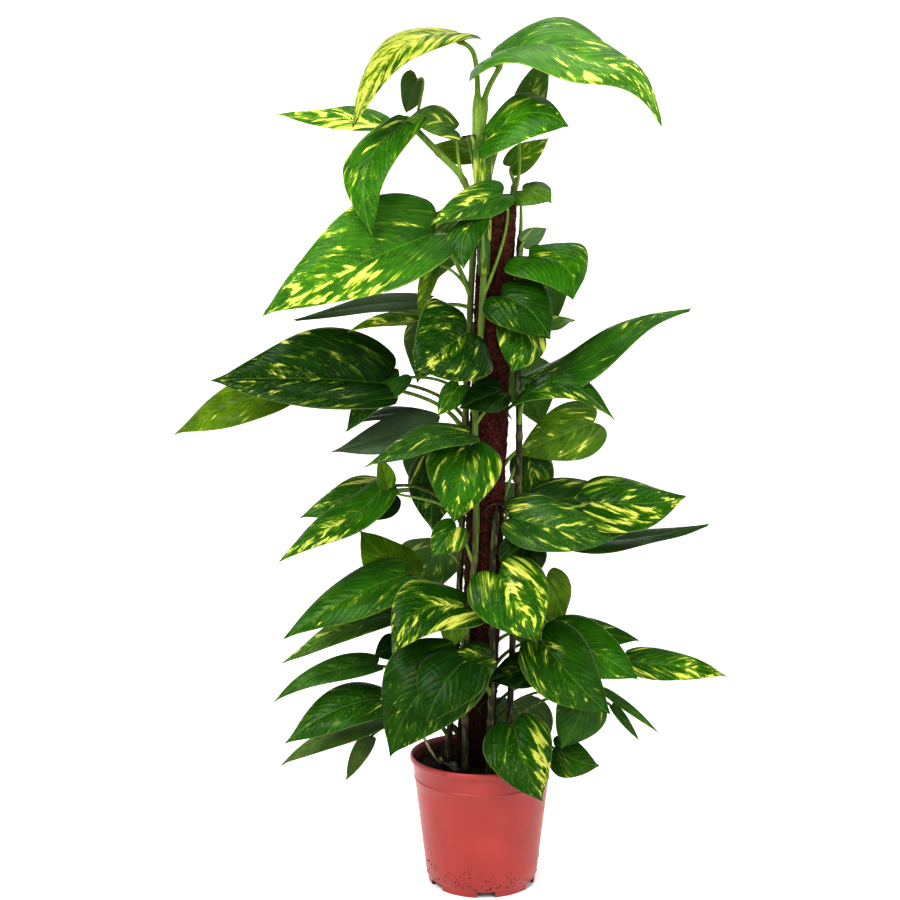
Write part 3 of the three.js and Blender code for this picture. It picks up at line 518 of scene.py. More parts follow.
class Finish:
    """One material's node tree, with short ways to add its nodes."""

    def __init__(self, name, roughness):
        self.material = bpy.data.materials.new(name)
        self.material.use_nodes = True
        self.tree = self.material.node_tree
        self.tree.nodes.clear()
        self.shader = new_node(self.tree, "ShaderNodeBsdfPrincipled", {"Roughness": roughness})
        new_node(self.tree, "ShaderNodeOutputMaterial", {"Surface": self.shader.outputs["BSDF"]})

    def made(self, kind, output, inputs, **settings):
        return Amount(new_node(self.tree, kind, inputs, **settings).outputs[output])

    def place(self):
        return self.made("ShaderNodeTexCoord", "Object", {})

    def attribute(self, name, output="Fac"):
        return self.made("ShaderNodeAttribute", output, {}, attribute_name=name)

    def parts(self, vector):
        node = new_node(self.tree, "ShaderNodeSeparateXYZ", {0: vector})
        return [Amount(socket) for socket in node.outputs]

    def even(self, amount):
        """The same amount of red, green and blue."""
        return self.made("ShaderNodeCombineXYZ", 0, {0: amount, 1: amount, 2: amount})

    def stretched(self, vector, scale):
        return self.made("ShaderNodeVectorMath", 0, {0: vector, 1: scale}, operation="MULTIPLY")

    def noise(self, vector, scale, detail=3.0, roughness=0.55, distortion=0.0):
        inputs = {"Vector": vector, "Scale": scale, "Detail": detail}
        inputs.update({"Roughness": roughness, "Distortion": distortion})
        return self.made("ShaderNodeTexNoise", "Fac", inputs)

    def between(self, value, low, high):
        """0 at low, 1 at high, smooth between them; low may be the larger of the two."""
        inputs = {"Value": value, "From Min": low, "From Max": high}
        return self.made("ShaderNodeMapRange", "Result", inputs, interpolation_type="SMOOTHSTEP")

    def mix(self, share, first, second, blend="MIX"):
        inputs = {0: share, 6: first, 7: second}
        return self.made("ShaderNodeMix", 2, inputs, data_type="RGBA", blend_type=blend)

    def bump(self, height, distance, strength, under):
        inputs = {"Height": height, "Distance": distance, "Strength": strength}
        if under is not None:
            inputs["Normal"] = under
        return self.made("ShaderNodeBump", 0, inputs)

    def set(self, name, value):
        feed(self.shader.inputs[name], value)

    def with_face(self, colour, roughness, *bumps):
        """The material with its colour and roughness, and with bumps laid one on the other."""
        self.set("Base Color", colour)
        self.set("Roughness", roughness)
        face = None
        for height, distance, strength in bumps:
            face = self.bump(height, distance, strength, face)
        self.set("Normal", face)
        return self.material


# ---- Finishes ----
def leaf_finish(settings):
    look = Finish("pothos leaf", 0.3)
    vein_place = look.attribute("vein_place", "Vector")
    run, _, _ = look.parts(vein_place)
    from_heel, margin_share, off_midrib = look.parts(look.attribute("blade_place", "Vector"))
    tone, painted_light_and_shade, dust_and_sheen = look.parts(look.attribute("leaf_look", "Vector"))
    yellow_share = look.attribute("yellow_share")
    underside = look.attribute("underside")

    # Streaks run out from the midrib along the side veins, fine ones over broad ones.
    broad = look.noise(look.stretched(vein_place, (5.5, 2.6, 9.0)), 1.0, 2.0, 0.5, 0.2)
    middle = look.noise(look.stretched(vein_place, (17.0, 3.6, 9.0)), 1.0, 2.0, 0.55, 0.15)
    fine = look.noise(look.stretched(vein_place, (52.0, 7.0, 9.0)), 1.0, 2.0, 0.6)
    streaks = broad * 0.54 + middle * 0.28 + fine * 0.18
    patch = look.noise(look.stretched(vein_place, (2.6, 2.2, 9.0)), 1.3, 1.0, 0.5, 0.4)
    gather = look.between(patch, 0.4, 0.58).or_more(look.between(yellow_share, 0.4, 0.6))
    yellow_share = yellow_share * (gather * 1.2 + 0.06)
    level = NO_YELLOW_LEVEL - yellow_share * (0.42 - yellow_share * 0.19)
    soft = yellow_share * yellow_share * 0.09
    yellow = look.between(streaks, level - 0.004, level + 0.022 + soft)
    halo = look.between(streaks, level - 0.085, level + 0.005)
    hairs = look.between(fine, 0.47, 0.38)
    yellow = (yellow - hairs * 0.7).clamped()
    dots = look.noise(look.stretched(vein_place, (70.0, 24.0, 9.0)), 1.0, 1.0, 0.5)
    flecks = look.between(dots, 0.68, 0.74) * look.between(yellow_share, 0.01, 0.1)
    yellow = yellow.or_more(flecks * 0.75)

    greens = look.mix(look.between(tone, 0.0, 0.5), settings.deep, settings.bright)
    # Olive paints the light that shines through a leaf lit from behind.
    greens = look.mix(look.between(tone, 0.5, 1.0), greens, settings.olive)
    cloud = look.noise(look.place(), 34.0, 2.0)
    greens = look.mix(look.between(cloud, 0.62, 0.36) * 0.45, greens, settings.deep)
    lines = look.between(fine * 0.6 + middle * 0.4, 0.46, 0.6)
    greens = look.mix(lines * 0.2, greens, (0.07, 0.27, 0.006))
    # Painted shade: each leaf deepens towards its heel.
    greens = look.mix(look.between(from_heel, 0.5, 0.0) * 0.3, greens, settings.deep)
    vein_wave = (run * (2 * math.pi * VEINS_EACH_SIDE / PAINTED_VEIN_RUN)).sine()
    grooves = look.between(vein_wave, 0.1, 0.95) * 0.24
    greens = look.mix(grooves * look.between(margin_share, 0.02, 0.12), greens, settings.deep)
    lime = look.mix(0.45, greens, (0.24, 0.38, 0.015))
    colour = look.mix(halo * 0.8, greens, lime)
    shade = look.mix(look.between(broad, 0.4, 0.62), (0.5, 0.58, 0.05), settings.yellow)
    colour = look.mix(yellow, colour, shade)

    # The midrib is a little paler than the green beside it, and so is the very margin.
    midrib = look.between(off_midrib, 0.02, 0.006)
    colour = look.mix(midrib * 0.3, colour, (0.22, 0.36, 0.06))
    edge = look.between(margin_share, 0.955, 0.992)
    colour = look.mix(edge * 0.3, colour, (0.4, 0.48, 0.12))
    colour = look.mix(underside * 0.4, colour, (0.085, 0.17, 0.035))
    # Painted light and shade: each leaf is made lighter or darker as a whole, by how lit it stands in
    # the plant.
    colour = look.mix(1.0, colour, look.even(painted_light_and_shade), "MULTIPLY")
    # Dust and a painted sheen grey some leaves.
    colour = look.mix(dust_and_sheen * 0.8, colour, (0.1, 0.14, 0.085))

    look.set("Specular IOR Level", 0.08)
    gloss = look.noise(look.place(), 190.0, 3.0)
    roughness = gloss * 0.18 + underside * 0.22 + 0.13
    grain = look.noise(look.place(), 900.0, 2.0)
    ridges = vein_wave * 0.34 + streaks * 2.2
    return look.with_face(colour, roughness, (ridges, 0.00045, 0.8), (grain, 0.00008, 0.5))


def stalk_finish(settings):
    look = Finish("pothos stalk", 0.42)
    age = look.attribute("age")
    fibres = look.noise(look.stretched(look.place(), (420.0, 420.0, 60.0)), 1.0, 3.0)
    mottle = look.noise(look.place(), 60.0, 3.0)
    _, _, height = look.parts(look.place())
    # Towards the soil the stalks turn browner and darker: partly their age, partly painted shade under
    # the foliage.
    age = (age + look.between(height, 0.36, 0.17) * 0.5 + mottle * 0.25).clamped()
    colour = look.mix(age, settings.green, settings.brown)
    paler = look.mix(0.35, colour, (0.5, 0.6, 0.22))
    colour = look.mix(look.between(fibres, 0.5, 0.72), colour, paler)
    colour = look.mix(look.attribute("joint") * 0.6, colour, (0.14, 0.12, 0.04))
    look.set("Specular IOR Level", 0.2)
    return look.with_face(colour, 0.3 + fibres * 0.3, (fibres, 0.0003, 0.6))


def pot_finish(settings):
    look = Finish("pot plastic", 0.3)
    place = look.place()
    x, y, height = look.parts(place)
    cloud = look.noise(place, 22.0, 3.0)
    colour = look.mix(look.between(cloud, 0.3, 0.75), settings.colour, (0.315, 0.035, 0.028))
    # Damp soil has left specks on the foot and under the rim.
    specks = look.noise(place, 420.0, 2.0, 0.6)
    drift = look.noise(place, 46.0, 2.0)
    low = look.between(height, 0.03, 0.006)
    high = look.between(height, 0.15, 0.16)
    out = (x * x + y * y).root()
    slope = (settings.neck_radius - settings.base_radius) / (settings.height - RIM_HEIGHT * MM)
    wall = height * slope + settings.base_radius - out
    # Painted shade: the inside of the wall darkens in patches under the rim.
    inside = look.between(wall, 0.0011, 0.0015) * look.between(height, 0.1655, 0.158)
    where = low.or_more(high) * look.between(drift, 0.5, 0.66)
    dirt_and_shade = look.between(specks, 0.62, 0.7) * where
    inner_wall_shade = inside * look.between(drift, 0.2, 0.5)
    dirt_and_shade = dirt_and_shade.or_more(inner_wall_shade * 0.85)
    colour = look.mix(dirt_and_shade, colour, (0.02, 0.012, 0.008))
    scuffs = look.noise(look.stretched(place, (60.0, 60.0, 340.0)), 1.0, 4.0)
    grain = look.noise(place, 260.0, 2.0)
    return look.with_face(colour, 0.24 + scuffs * 0.16 + dirt_and_shade * 0.4, (grain, 0.0002, 0.12))


def earth_finish(name, colour):
    look = Finish(name, 0.92)
    place = look.place()
    coarse = look.noise(place, 130.0, 5.0, 0.65)
    fine = look.noise(place, 620.0, 3.0)
    light = tuple(3.2 * part + 0.012 for part in colour)
    shade = look.mix(look.between(coarse, 0.42, 0.7), colour, light)
    shade = look.mix(look.between(fine, 0.66, 0.76), shade, (0.1, 0.075, 0.045))
    look.set("Specular IOR Level", 0.1)
    return look.with_face(shade, 0.7 + fine * 0.3, (coarse, 0.002, 0.7), (fine, 0.0006, 0.7))


def coir_finish(name, colour):
    look = Finish(name, 0.9)
    place = look.place()
    tufts = look.noise(place, 170.0, 4.0, 0.7, 1.2)
    strands = look.noise(look.stretched(place, (900.0, 900.0, 240.0)), 1.0, 2.0)
    light = tuple(2.6 * part + 0.012 for part in colour)
    # Painted shade: the coir turns near black in the hollows between its tufts.
    hollow_shade = look.mix(0.2, (0.006, 0.002, 0.0015), colour)
    shade = look.mix(look.between(tufts, 0.42, 0.6), hollow_shade, colour)
    frayed = look.between(strands, 0.5, 0.66) * look.between(tufts, 0.4, 0.56)
    shade = look.mix(frayed, shade, light)
    # The coir is dry and pale at the head. Towards the soil it is darker: damp that it draws up, and
    # painted shade under the foliage.
    _, _, height = look.parts(place)
    dry = look.between(height, 0.76, 0.89) * look.between(tufts, 0.36, 0.6)
    shade = look.mix(dry * 0.5, shade, (0.17, 0.07, 0.03))
    damp = look.between(height, 0.46, 0.17)
    shade = look.mix(damp * 0.75, shade, (0.008, 0.0025, 0.0015))
    look.set("Specular IOR Level", 0.1)
    return look.with_face(shade, 0.75 + strands * 0.25, (tufts, 0.002, 0.8), (strands, 0.0006, 0.8))


def wood_finish():
    look = Finish("stake wood", 0.75)
    place = look.place()
    grain = look.noise(look.stretched(place, (300.0, 300.0, 14.0)), 1.0, 4.0, 0.6, 0.8)
    colour = look.mix(grain, (0.36, 0.22, 0.1), (0.5, 0.35, 0.19))
    return look.with_face(colour, 0.6 + grain * 0.3, (grain, 0.0004, 0.5))


def litter_finish(name, dark, light):
    look = Finish(name, 0.8)
    crumple = look.noise(look.place(), 150.0, 4.0)
    colour = look.mix(look.between(crumple, 0.35, 0.65), dark, light)
    return look.with_face(colour, 0.6 + crumple * 0.35, (crumple, 0.0008, 0.6))


# ---- Mesh helpers ----
def in_scene(name, data):
    """A new object of that name and data, linked to the scene."""
    made = bpy.data.objects.new(name, data)
    bpy.context.collection.objects.link(made)
    return made


def shaped(name, shape):
    """An object with the mesh that was built in a bmesh."""
    mesh = bpy.data.meshes.new(name)
    shape.to_mesh(mesh)
    shape.free()
    return in_scene(name, mesh)


def mesh_piece(name, places, faces, material=None, attributes=None, edges=()):
    """A mesh object at the origin from places in millimetres, with its own point attributes."""
    mesh = bpy.data.meshes.new(name)
    mesh.from_pydata((np.asarray(places) * MM).tolist(), edges, faces)
    for key, values in (attributes or {}).items():
        values = np.asarray(values, dtype=np.float32)
        kind = "FLOAT_VECTOR" if values.ndim == 2 else "FLOAT"
        layer = mesh.attributes.new(key, kind, "POINT")
        layer.data.foreach_set("vector" if values.ndim == 2 else "value", values.ravel())
    mesh.validate()
    mesh.shade_smooth()
    if material is not None:
        mesh.materials.append(material)
    return in_scene(name, mesh)


def bmesh_clean(mesh):
    """Merges doubled corners and turns all faces outwards."""
    shape = bmesh.new()
    shape.from_mesh(mesh)
    bmesh.ops.remove_doubles(shape, verts=shape.verts, dist=1e-6)
    bmesh.ops.recalc_face_normals(shape, faces=shape.faces)
    shape.to_mesh(mesh)
    shape.free()


def soil_grain(name, radius):
    """A small uneven lump to scatter, its radius in millimetres."""
    shape = bmesh.new()
    bmesh.ops.create_icosphere(shape, subdivisions=1, radius=radius * MM)
    for vert in shape.verts:
        vert.co *= 0.75 + 0.5 * noise.noise(vert.co * 900 + Vector((3, 1, 2)))
        vert.co.z *= 0.7
    return shaped(name, shape)


def settled(piece):
    """The piece with its modifiers made part of a plain mesh."""
    bpy.context.view_layer.update()
    seen_by_render = piece.evaluated_get(bpy.context.evaluated_depsgraph_get())
    mesh = bpy.data.meshes.new_from_object(seen_by_render)
    mesh.name = piece.name
    piece.modifiers.clear()
    piece.data = mesh
    return piece


def handed_in(piece, slot, *nodes):
    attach(piece, ROOT)
    if nodes:
        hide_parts(*nodes)


def lathe(profile, sides):
    """Closed rings of places round +Z and the faces between them; an end on the axis is a pole."""
    places, rows, faces = [], [], []
    for radius, z in profile:
        if radius < 1e-6:
            rows.append([len(places)] * sides)
            places.append((0.0, 0.0, z))
            continue
        rows.append(list(range(len(places), len(places) + sides)))
        for i in range(sides):
            turn = 2 * math.pi * i / sides
            places.append((radius * math.cos(turn), radius * math.sin(turn), z))
    for low, high in zip(rows, rows[1:]):
        for i in range(sides):
            j = (i + 1) % sides
            corners = list(dict.fromkeys((low[i], low[j], high[j], high[i])))
            if len(corners) > 2:
                faces.append(corners)
    return places, faces


# ---- Geometry node trees ----
def new_tree(name, numbers):
    """A tree with geometry in and out and the named number inputs given as (name, kind)."""
    tree = bpy.data.node_groups.new(name, "GeometryNodeTree")
    face = tree.interface
    face.new_socket("Geometry", in_out="INPUT", socket_type="NodeSocketGeometry")
    for label, kind in numbers:
        face.new_socket(label, in_out="INPUT", socket_type=kind)
    face.new_socket("Geometry", in_out="OUTPUT", socket_type="NodeSocketGeometry")
    return tree, tree.nodes.new("NodeGroupInput"), tree.nodes.new("NodeGroupOutput")


def join_in_turn(tree, first, *nodes):
    """Leads geometry from the first socket through the first input of each node in turn."""
    for node in nodes:
        tree.links.new(first, node.inputs[0])
        first = node.outputs[0] if node.outputs else None


def finished(tree, geometry, material, output):
    real = tree.nodes.new("GeometryNodeRealizeInstances")
    paint = new_node(tree, "GeometryNodeSetMaterial", {"Material": material})
    join_in_turn(tree, geometry, real, paint, output)


def named(tree, label):
    return new_node(tree, "GeometryNodeInputNamedAttribute", {"Name": label}).outputs["Attribute"]


def drawn(tree, low, high, seed, kind="FLOAT"):
    node = new_node(tree, "FunctionNodeRandomValue", {"Seed": seed}, data_type=kind)
    for socket, value in zip([s for s in node.inputs if s.enabled], (low, high)):
        feed(socket, value)
    return next(s for s in node.outputs if s.enabled)


def product(tree, first, second):
    return new_node(tree, "ShaderNodeMath", {0: first, 1: second}, operation="MULTIPLY").outputs[0]


def stalk_tree(material, name="Stalks along paths"):
    """Paths of edges become round stalks of their own changing thickness."""
    tree, given, output = new_tree(name, [("Sides", "NodeSocketInt")])
    path = tree.nodes.new("GeometryNodeMeshToCurve")
    size = {"Resolution": given.outputs["Sides"], "Radius": 1.0}
    ring = new_node(tree, "GeometryNodeCurvePrimitiveCircle", size)
    around = {"Profile Curve": ring.outputs["Curve"], "Fill Caps": True}
    around["Scale"] = named(tree, "thickness")
    skin = new_node(tree, "GeometryNodeCurveToMesh", around)
    smooth = tree.nodes.new("GeometryNodeSetShadeSmooth")
    join_in_turn(tree, given.outputs["Geometry"], path, skin, smooth)
    finished(tree, smooth.outputs[0], material, output)
    return tree


def scatter_tree(name, shape, material, lean, sizes, seed):
    """Copies of a shape spread over a surface, turned at random and leaning from its normal."""
    tree, given, output = new_tree(name, [("Density", "NodeSocketFloat"), ("Size", "NodeSocketFloat")])
    density = product(tree, given.outputs["Density"], named(tree, "growing"))
    over = {"Mesh": given.outputs["Geometry"], "Density": density, "Seed": seed}
    spread = new_node(tree, "GeometryNodeDistributePointsOnFaces", over)
    turned = spread.outputs["Rotation"]
    spins = [((0, 0, 0), (0, 0, 2 * math.pi)), ((lean[0], 0, 0), (lean[1], 0, 0))]
    for number, (low, high) in enumerate(spins, 1):
        angles = {0: drawn(tree, low, high, seed + number, "FLOAT_VECTOR")}
        euler = new_node(tree, "FunctionNodeEulerToRotation", angles)
        turns = {"Rotation": turned, "Rotate By": euler.outputs[0]}
        turned = new_node(tree, "FunctionNodeRotateRotation", turns, rotation_space="LOCAL").outputs[0]
    model = new_node(tree, "GeometryNodeObjectInfo", {"Object": shape})
    copies = {"Points": spread.outputs["Points"], "Instance": model.outputs["Geometry"]}
    copies["Rotation"] = turned
    copies["Scale"] = product(tree, given.outputs["Size"], drawn(tree, *sizes, seed + 3))
    place = new_node(tree, "GeometryNodeInstanceOnPoints", copies)
    finished(tree, place.outputs[0], material, output)
    return tree


def grown(piece, tree, **numbers):
    """Runs a tree on the piece, its inputs set by identifier, and keeps the plain mesh."""
    modifier = piece.modifiers.new(tree.name, "NODES")
    modifier.node_group = tree
    for item in tree.interface.items_tree:
        if item.in_out == "INPUT" and item.name in numbers:
            modifier[item.identifier] = numbers[item.name]
    return settled(piece)


def scattered(name, places, faces, growing, shape, material, spread, density):
    """A piece of copies of the shape, spread over the faces where growing is above 0."""
    lean, sizes, seed = spread
    piece = mesh_piece(name, places, faces, attributes={"growing": growing})
    grown(piece, scatter_tree(name, shape, material, lean, sizes, seed), Density=density, Size=1.0)
    bpy.data.objects.remove(shape)
    return piece


# ---- The plant's own shapes ----
def pole_axis(z):
    share = (z - POLE_FOOT[2]) / (POLE_HEAD[2] - POLE_FOOT[2])
    return POLE_FOOT + (POLE_HEAD - POLE_FOOT) * share


def vine_points(route):
    points = []
    for turn, distance, z in route:
        angle = math.radians(turn)
        points.append(pole_axis(z) + distance * np.array((math.cos(angle), math.sin(angle), 0.0)))
    return np.array(points)


def on_vine(points, share):
    """A centripetal curve through the points, at a share of its run from 0 to 1."""
    spot = share * (len(points) - 1)
    i = min(int(spot), len(points) - 2)
    weight = spot - i
    before = points[i - 1] if i > 0 else 2 * points[0] - points[1]
    after = points[i + 2] if i + 2 < len(points) else 2 * points[-1] - points[-2]
    p = (before, points[i], points[i + 1], after)
    steps = [max(np.linalg.norm(p[k + 1] - p[k]) ** 0.5, 1e-4) for k in range(3)]
    first = (p[1] - p[0]) / steps[0] - (p[2] - p[0]) / (steps[0] + steps[1]) + (p[2] - p[1]) / steps[1]
    second = (p[2] - p[1]) / steps[1] - (p[3] - p[1]) / (steps[1] + steps[2]) + (p[3] - p[2]) / steps[2]
    first, second = first * steps[1], second * steps[1]
    square = -3 * p[1] + 3 * p[2] - 2 * first - second
    cube = 2 * p[1] - 2 * p[2] + first + second
    return p[1] + first * weight + square * weight**2 + cube * weight**3


def vine_at(points, z):
    low, high = 0.0, 1.0
    for _ in range(30):
        middle = (low + high) / 2
        if on_vine(points, middle)[2] < z:
            low = middle
        else:
            high = middle
    return on_vine(points, low)


def seen(place):
    """A place at x, z on the pole's upright plane, slid along the line of sight to its depth."""
    x, z, depth = place
    share = (depth - SIGHT_POINT[1]) / -SIGHT_POINT[1]
    return SIGHT_POINT + (np.array((x, 0.0, z)) - SIGHT_POINT) * share


def unit(vector):
    return vector / np.linalg.norm(vector)


def outline_at(u):
    return (u + OUTLINE_START) ** OUTLINE_RISE * (1 - u) ** OUTLINE_FALL


WIDEST = (OUTLINE_RISE - OUTLINE_FALL * OUTLINE_START) / (OUTLINE_RISE + OUTLINE_FALL)


def plain_look(name):
    """The look of a leaf that isn't in the table: like the others, drawn by its name."""
    draw = random.Random(name)
    tone, painted_light_and_shade = draw.uniform(0.15, 0.65), draw.uniform(0.72, 1.0)
    return (tone, painted_light_and_shade, 0.05, draw.uniform(0.0, 0.45), draw.uniform(0.0, 0.45))


class Leaf:
    """One leaf's blade as a surface of u, heel to tip, and v, margin to margin."""

    def __init__(self, row, seed):
        self.name, self.vine, self.joins_at, heel, tip, *form = row
        self.width, face, self.arch, self.fold, self.bend = form
        self.heel, self.tip = seen(heel), seen(tip)
        self.length = np.linalg.norm(self.tip - self.heel)
        self.ahead = unit(self.tip - self.heel)
        face = np.array(face, dtype=float)
        self.up = unit(face - self.ahead * face.dot(self.ahead))
        self.side = np.cross(self.up, self.ahead)
        self.seed = seed
        self.look = LOOKS.get(self.name) or plain_look(self.name)

    def half_width(self, u):
        drip_tip = 1 - 0.3 * np.exp(-(((1 - u) / 0.1) ** 2))
        return self.width / 2 * outline_at(u) / outline_at(WIDEST) * drip_tip

    def surface(self, u, v, quilting=0.0):
        half = self.half_width(u)
        away = np.abs(v)
        swept = LOBE_BACK * self.width * (1 - u) ** 3 * away * (3.2 - 2.4 * away)
        wave = WAVE * self.width * v * away * np.sin(7 * u + 2 * v + self.length)
        cupped = half * (self.fold * away - DROOP * v * v)
        rise = self.arch * np.sin(math.pi * u**ARCH_SKEW) + cupped + wave
        rise = rise - SWINGS.get(self.name, 0.0) * np.sin(2 * math.pi * u)
        by_heel, by_tip = SHOULDERS.get(self.name, (0.0, 0.0))
        rise = rise + by_heel * np.sin(3 * math.pi * u) + by_tip * np.sin(math.pi * u**3)
        if quilting:
            rise = rise + self.relief(u, v, half, quilting)
        across = half * v + 4 * self.bend * u * (1 - u)
        return (
            self.heel
            + (self.length * u - swept)[..., None] * self.ahead
            + across[..., None] * self.side
            + rise[..., None] * self.up
        )

    def vein_run(self, u, v):
        """The same all along one side vein, which leaves the midrib and bends to the tip."""
        away = np.abs(v)
        return u - away * (1.3 + 0.7 * away) * self.half_width(u) / self.length

    def relief(self, u, v, half, quilting):
        off_midrib = np.abs(half * v)
        groove = -0.5 * np.exp(-((off_midrib / 1.6) ** 2))
        swell = np.sin(2 * math.pi * VEINS_EACH_SIDE * self.vein_run(u, v))
        swell = swell * (1 - np.exp(-off_midrib / 5))
        ripple = 0.01 * self.width * np.abs(v) ** 3 * (np.sin(12 * u + 5 * self.seed + 2 * v) - 1)
        return groove + quilting * swell * (1 - np.abs(v) ** 6) * self.width / 90 + ripple

    def yellow_share(self, u, v):
        before, after = self.look[3:5]
        start, end = self.look[5:] or (0.0, 1.0)
        share = np.where(v < 0, before, after)
        share = np.where(np.abs(v) < 1e-6, (before + after) / 2, share)
        inside = np.clip((u - start) / 0.15 + 0.5, 0, 1) * np.clip((end - u) / 0.15 + 0.5, 0, 1)
        return YELLOW_OVERALL * share * (0.15 + 0.85 * inside)


def closed(sheet, margin, count):
    """Faces of a sheet, of the like sheet behind it, and of the edge that joins their margins."""
    faces = sheet + [tuple(count + k for k in reversed(face)) for face in sheet]
    return faces + [(a + count, b + count, b, a) for a, b in zip(margin, margin[1:] + margin[:1])]


def blade_parts(leaf, settings):
    """Places, faces and attributes of one blade: two sheets, joined round the margin."""
    rows, columns = settings.rows, settings.columns + 1
    steps = np.linspace(0.0, 1.0, rows + 1)[:-1] ** 1.05
    u, v = np.meshgrid(steps, np.linspace(-1.0, 1.0, columns), indexing="ij")
    quilting = settings.quilting / MM
    middle = leaf.surface(u, v, quilting)
    nudge = 0.004
    along = leaf.surface(np.minimum(u + nudge, 0.999), v, quilting) - middle
    across = leaf.surface(u, v + nudge, quilting) - leaf.surface(u, v - nudge, quilting)
    normal = np.cross(along, across)
    normal /= np.linalg.norm(normal, axis=2)[..., None]
    thick = settings.thickness / MM * (1 - 0.45 * np.abs(v) ** 4) * (1 - 0.3 * u)
    tip = leaf.surface(np.array([1.0]), np.array([0.0]))[0]
    top = (middle + normal * thick[..., None] / 2).reshape(-1, 3)
    bottom = (middle - normal * thick[..., None] / 2).reshape(-1, 3)
    lift = normal[-1, columns // 2] * 0.15
    places = np.vstack([top, tip + lift, bottom, tip - lift])
    count = len(top) + 1

    def corner(row, column):
        return count - 1 if row == rows else row * columns + column

    sheet = []
    for row in range(rows):
        for column in range(columns - 1):
            quad = (corner(row, column), corner(row + 1, column))
            quad += (corner(row + 1, column + 1), corner(row, column + 1))
            sheet.append(tuple(dict.fromkeys(quad)))
    margin = [corner(0, column) for column in range(columns - 1, 0, -1)]
    margin += [corner(row, 0) for row in range(rows + 1)]
    margin += [corner(row, columns - 1) for row in range(rows - 1, 0, -1)]
    faces = closed(sheet, margin, count)

    flat_u, flat_v = np.append(u.ravel(), 1.0), np.append(v.ravel(), 0.0)
    run = leaf.vein_run(flat_u, flat_v)
    seeds = np.full(count, 100 * leaf.seed)
    veins = np.column_stack([run * leaf.length, flat_v * leaf.width, seeds]) / 100
    look = np.tile(leaf.look[:3], (count, 1))
    off = np.abs(leaf.half_width(flat_u) * flat_v) / 50
    blade = np.column_stack([flat_u, np.abs(flat_v), off])
    under = np.concatenate([np.zeros(count), np.ones(count)])
    attributes = {
        "vein_place": np.vstack([veins, veins]),
        "leaf_look": np.vstack([look, look]),
        "yellow_share": np.tile(leaf.yellow_share(flat_u, flat_v), 2),
        "blade_place": np.vstack([blade, blade]),
        "underside": under,
    }
    return places, faces, attributes


def sheath_parts(points, number, row):
    """One sheath: a leafy tongue wrapped part of the way round the stem."""
    facing, low, high, wrap, flare = row
    rows, columns = 24, 9
    t, a = np.meshgrid(np.linspace(0, 1, rows), np.linspace(-1, 1, columns), indexing="ij")
    stem = np.array([vine_at(points, z) for z in np.linspace(low, high, rows)])
    turn = math.radians(facing) + a * wrap * (1 - t**1.6) ** 0.7
    radius = 5.4 + 0.5 * number + flare * t**2 + 0.5 * np.cos(3 * a) * (1 - t)
    out = np.stack([np.cos(turn), np.sin(turn), np.zeros_like(turn)], axis=-1)
    outer = stem[:, None, :] + out * radius[..., None]
    inner = outer - out * (0.7 - 0.3 * t)[..., None]
    faces = two_sheets(rows, columns)
    count = rows * columns
    veins = (a * 0.26, t * (high - low) / 160, np.full_like(t, 5.0 + 2 * number))
    veins = np.stack(veins, axis=-1).reshape(-1, 3)
    blade = np.stack([t, np.abs(a) * 0.9, np.full_like(t, 0.5)], axis=-1).reshape(-1, 3)
    attributes = {
        "vein_place": np.vstack([veins, veins]),
        "blade_place": np.vstack([blade, blade]),
        "leaf_look": np.tile((0.6, 0.8, 0.15), (2 * count, 1)),
        "yellow_share": np.full(2 * count, 0.48),
        "underside": np.concatenate([np.full(count, 0.4), np.ones(count)]),
    }
    return np.vstack([outer.reshape(-1, 3), inner.reshape(-1, 3)]), faces, attributes


def two_sheets(rows, columns):
    """Faces of a grid, of the same grid behind it, and of the edge that joins the two."""
    count = rows * columns
    front = []
    for row in range(rows - 1):
        for first in range(row * columns, (row + 1) * columns - 1):
            front.append((first, first + 1, first + columns + 1, first + columns))
    edge = list(range(columns)) + [row * columns + columns - 1 for row in range(1, rows)]
    edge += [count - 1 - column for column in range(1, columns)]
    edge += [row * columns for row in range(rows - 2, 0, -1)]
    return closed(front, edge, count)


def bezier(points, shares):
    a, b, c, d = points
    t = np.asarray(shares)[:, None]
    return a * (1 - t) ** 3 + 3 * b * t * (1 - t) ** 2 + 3 * c * t**2 * (1 - t) + d * t**3


def petiole_path(leaf, root):
    """The petiole leaves the vine outwards and upwards and comes in under the heel."""
    ahead = unit(leaf.surface(np.array(0.1), np.array(0.0)) - leaf.heel)
    up = unit(leaf.up - ahead * leaf.up.dot(ahead))
    reach = np.linalg.norm(leaf.heel - root)
    out = leaf.heel - root
    out = unit(np.array((out[0], out[1], 0.0)))
    upright = UPRIGHT_PETIOLES.get(leaf.name, 0.0)
    rise = np.array((0, 0, (0.4 + 0.4 * upright) * reach))
    leaving = root + (0.2 - 0.17 * upright) * reach * out + rise
    under = -0.03 if leaf.name in HOOKED_PETIOLES else 0.15
    arriving = leaf.heel - 0.25 * reach * ahead - under * reach * up
    end = leaf.heel + 0.05 * leaf.length * ahead - 0.6 * up
    return (root, leaving, arriving, end), reach


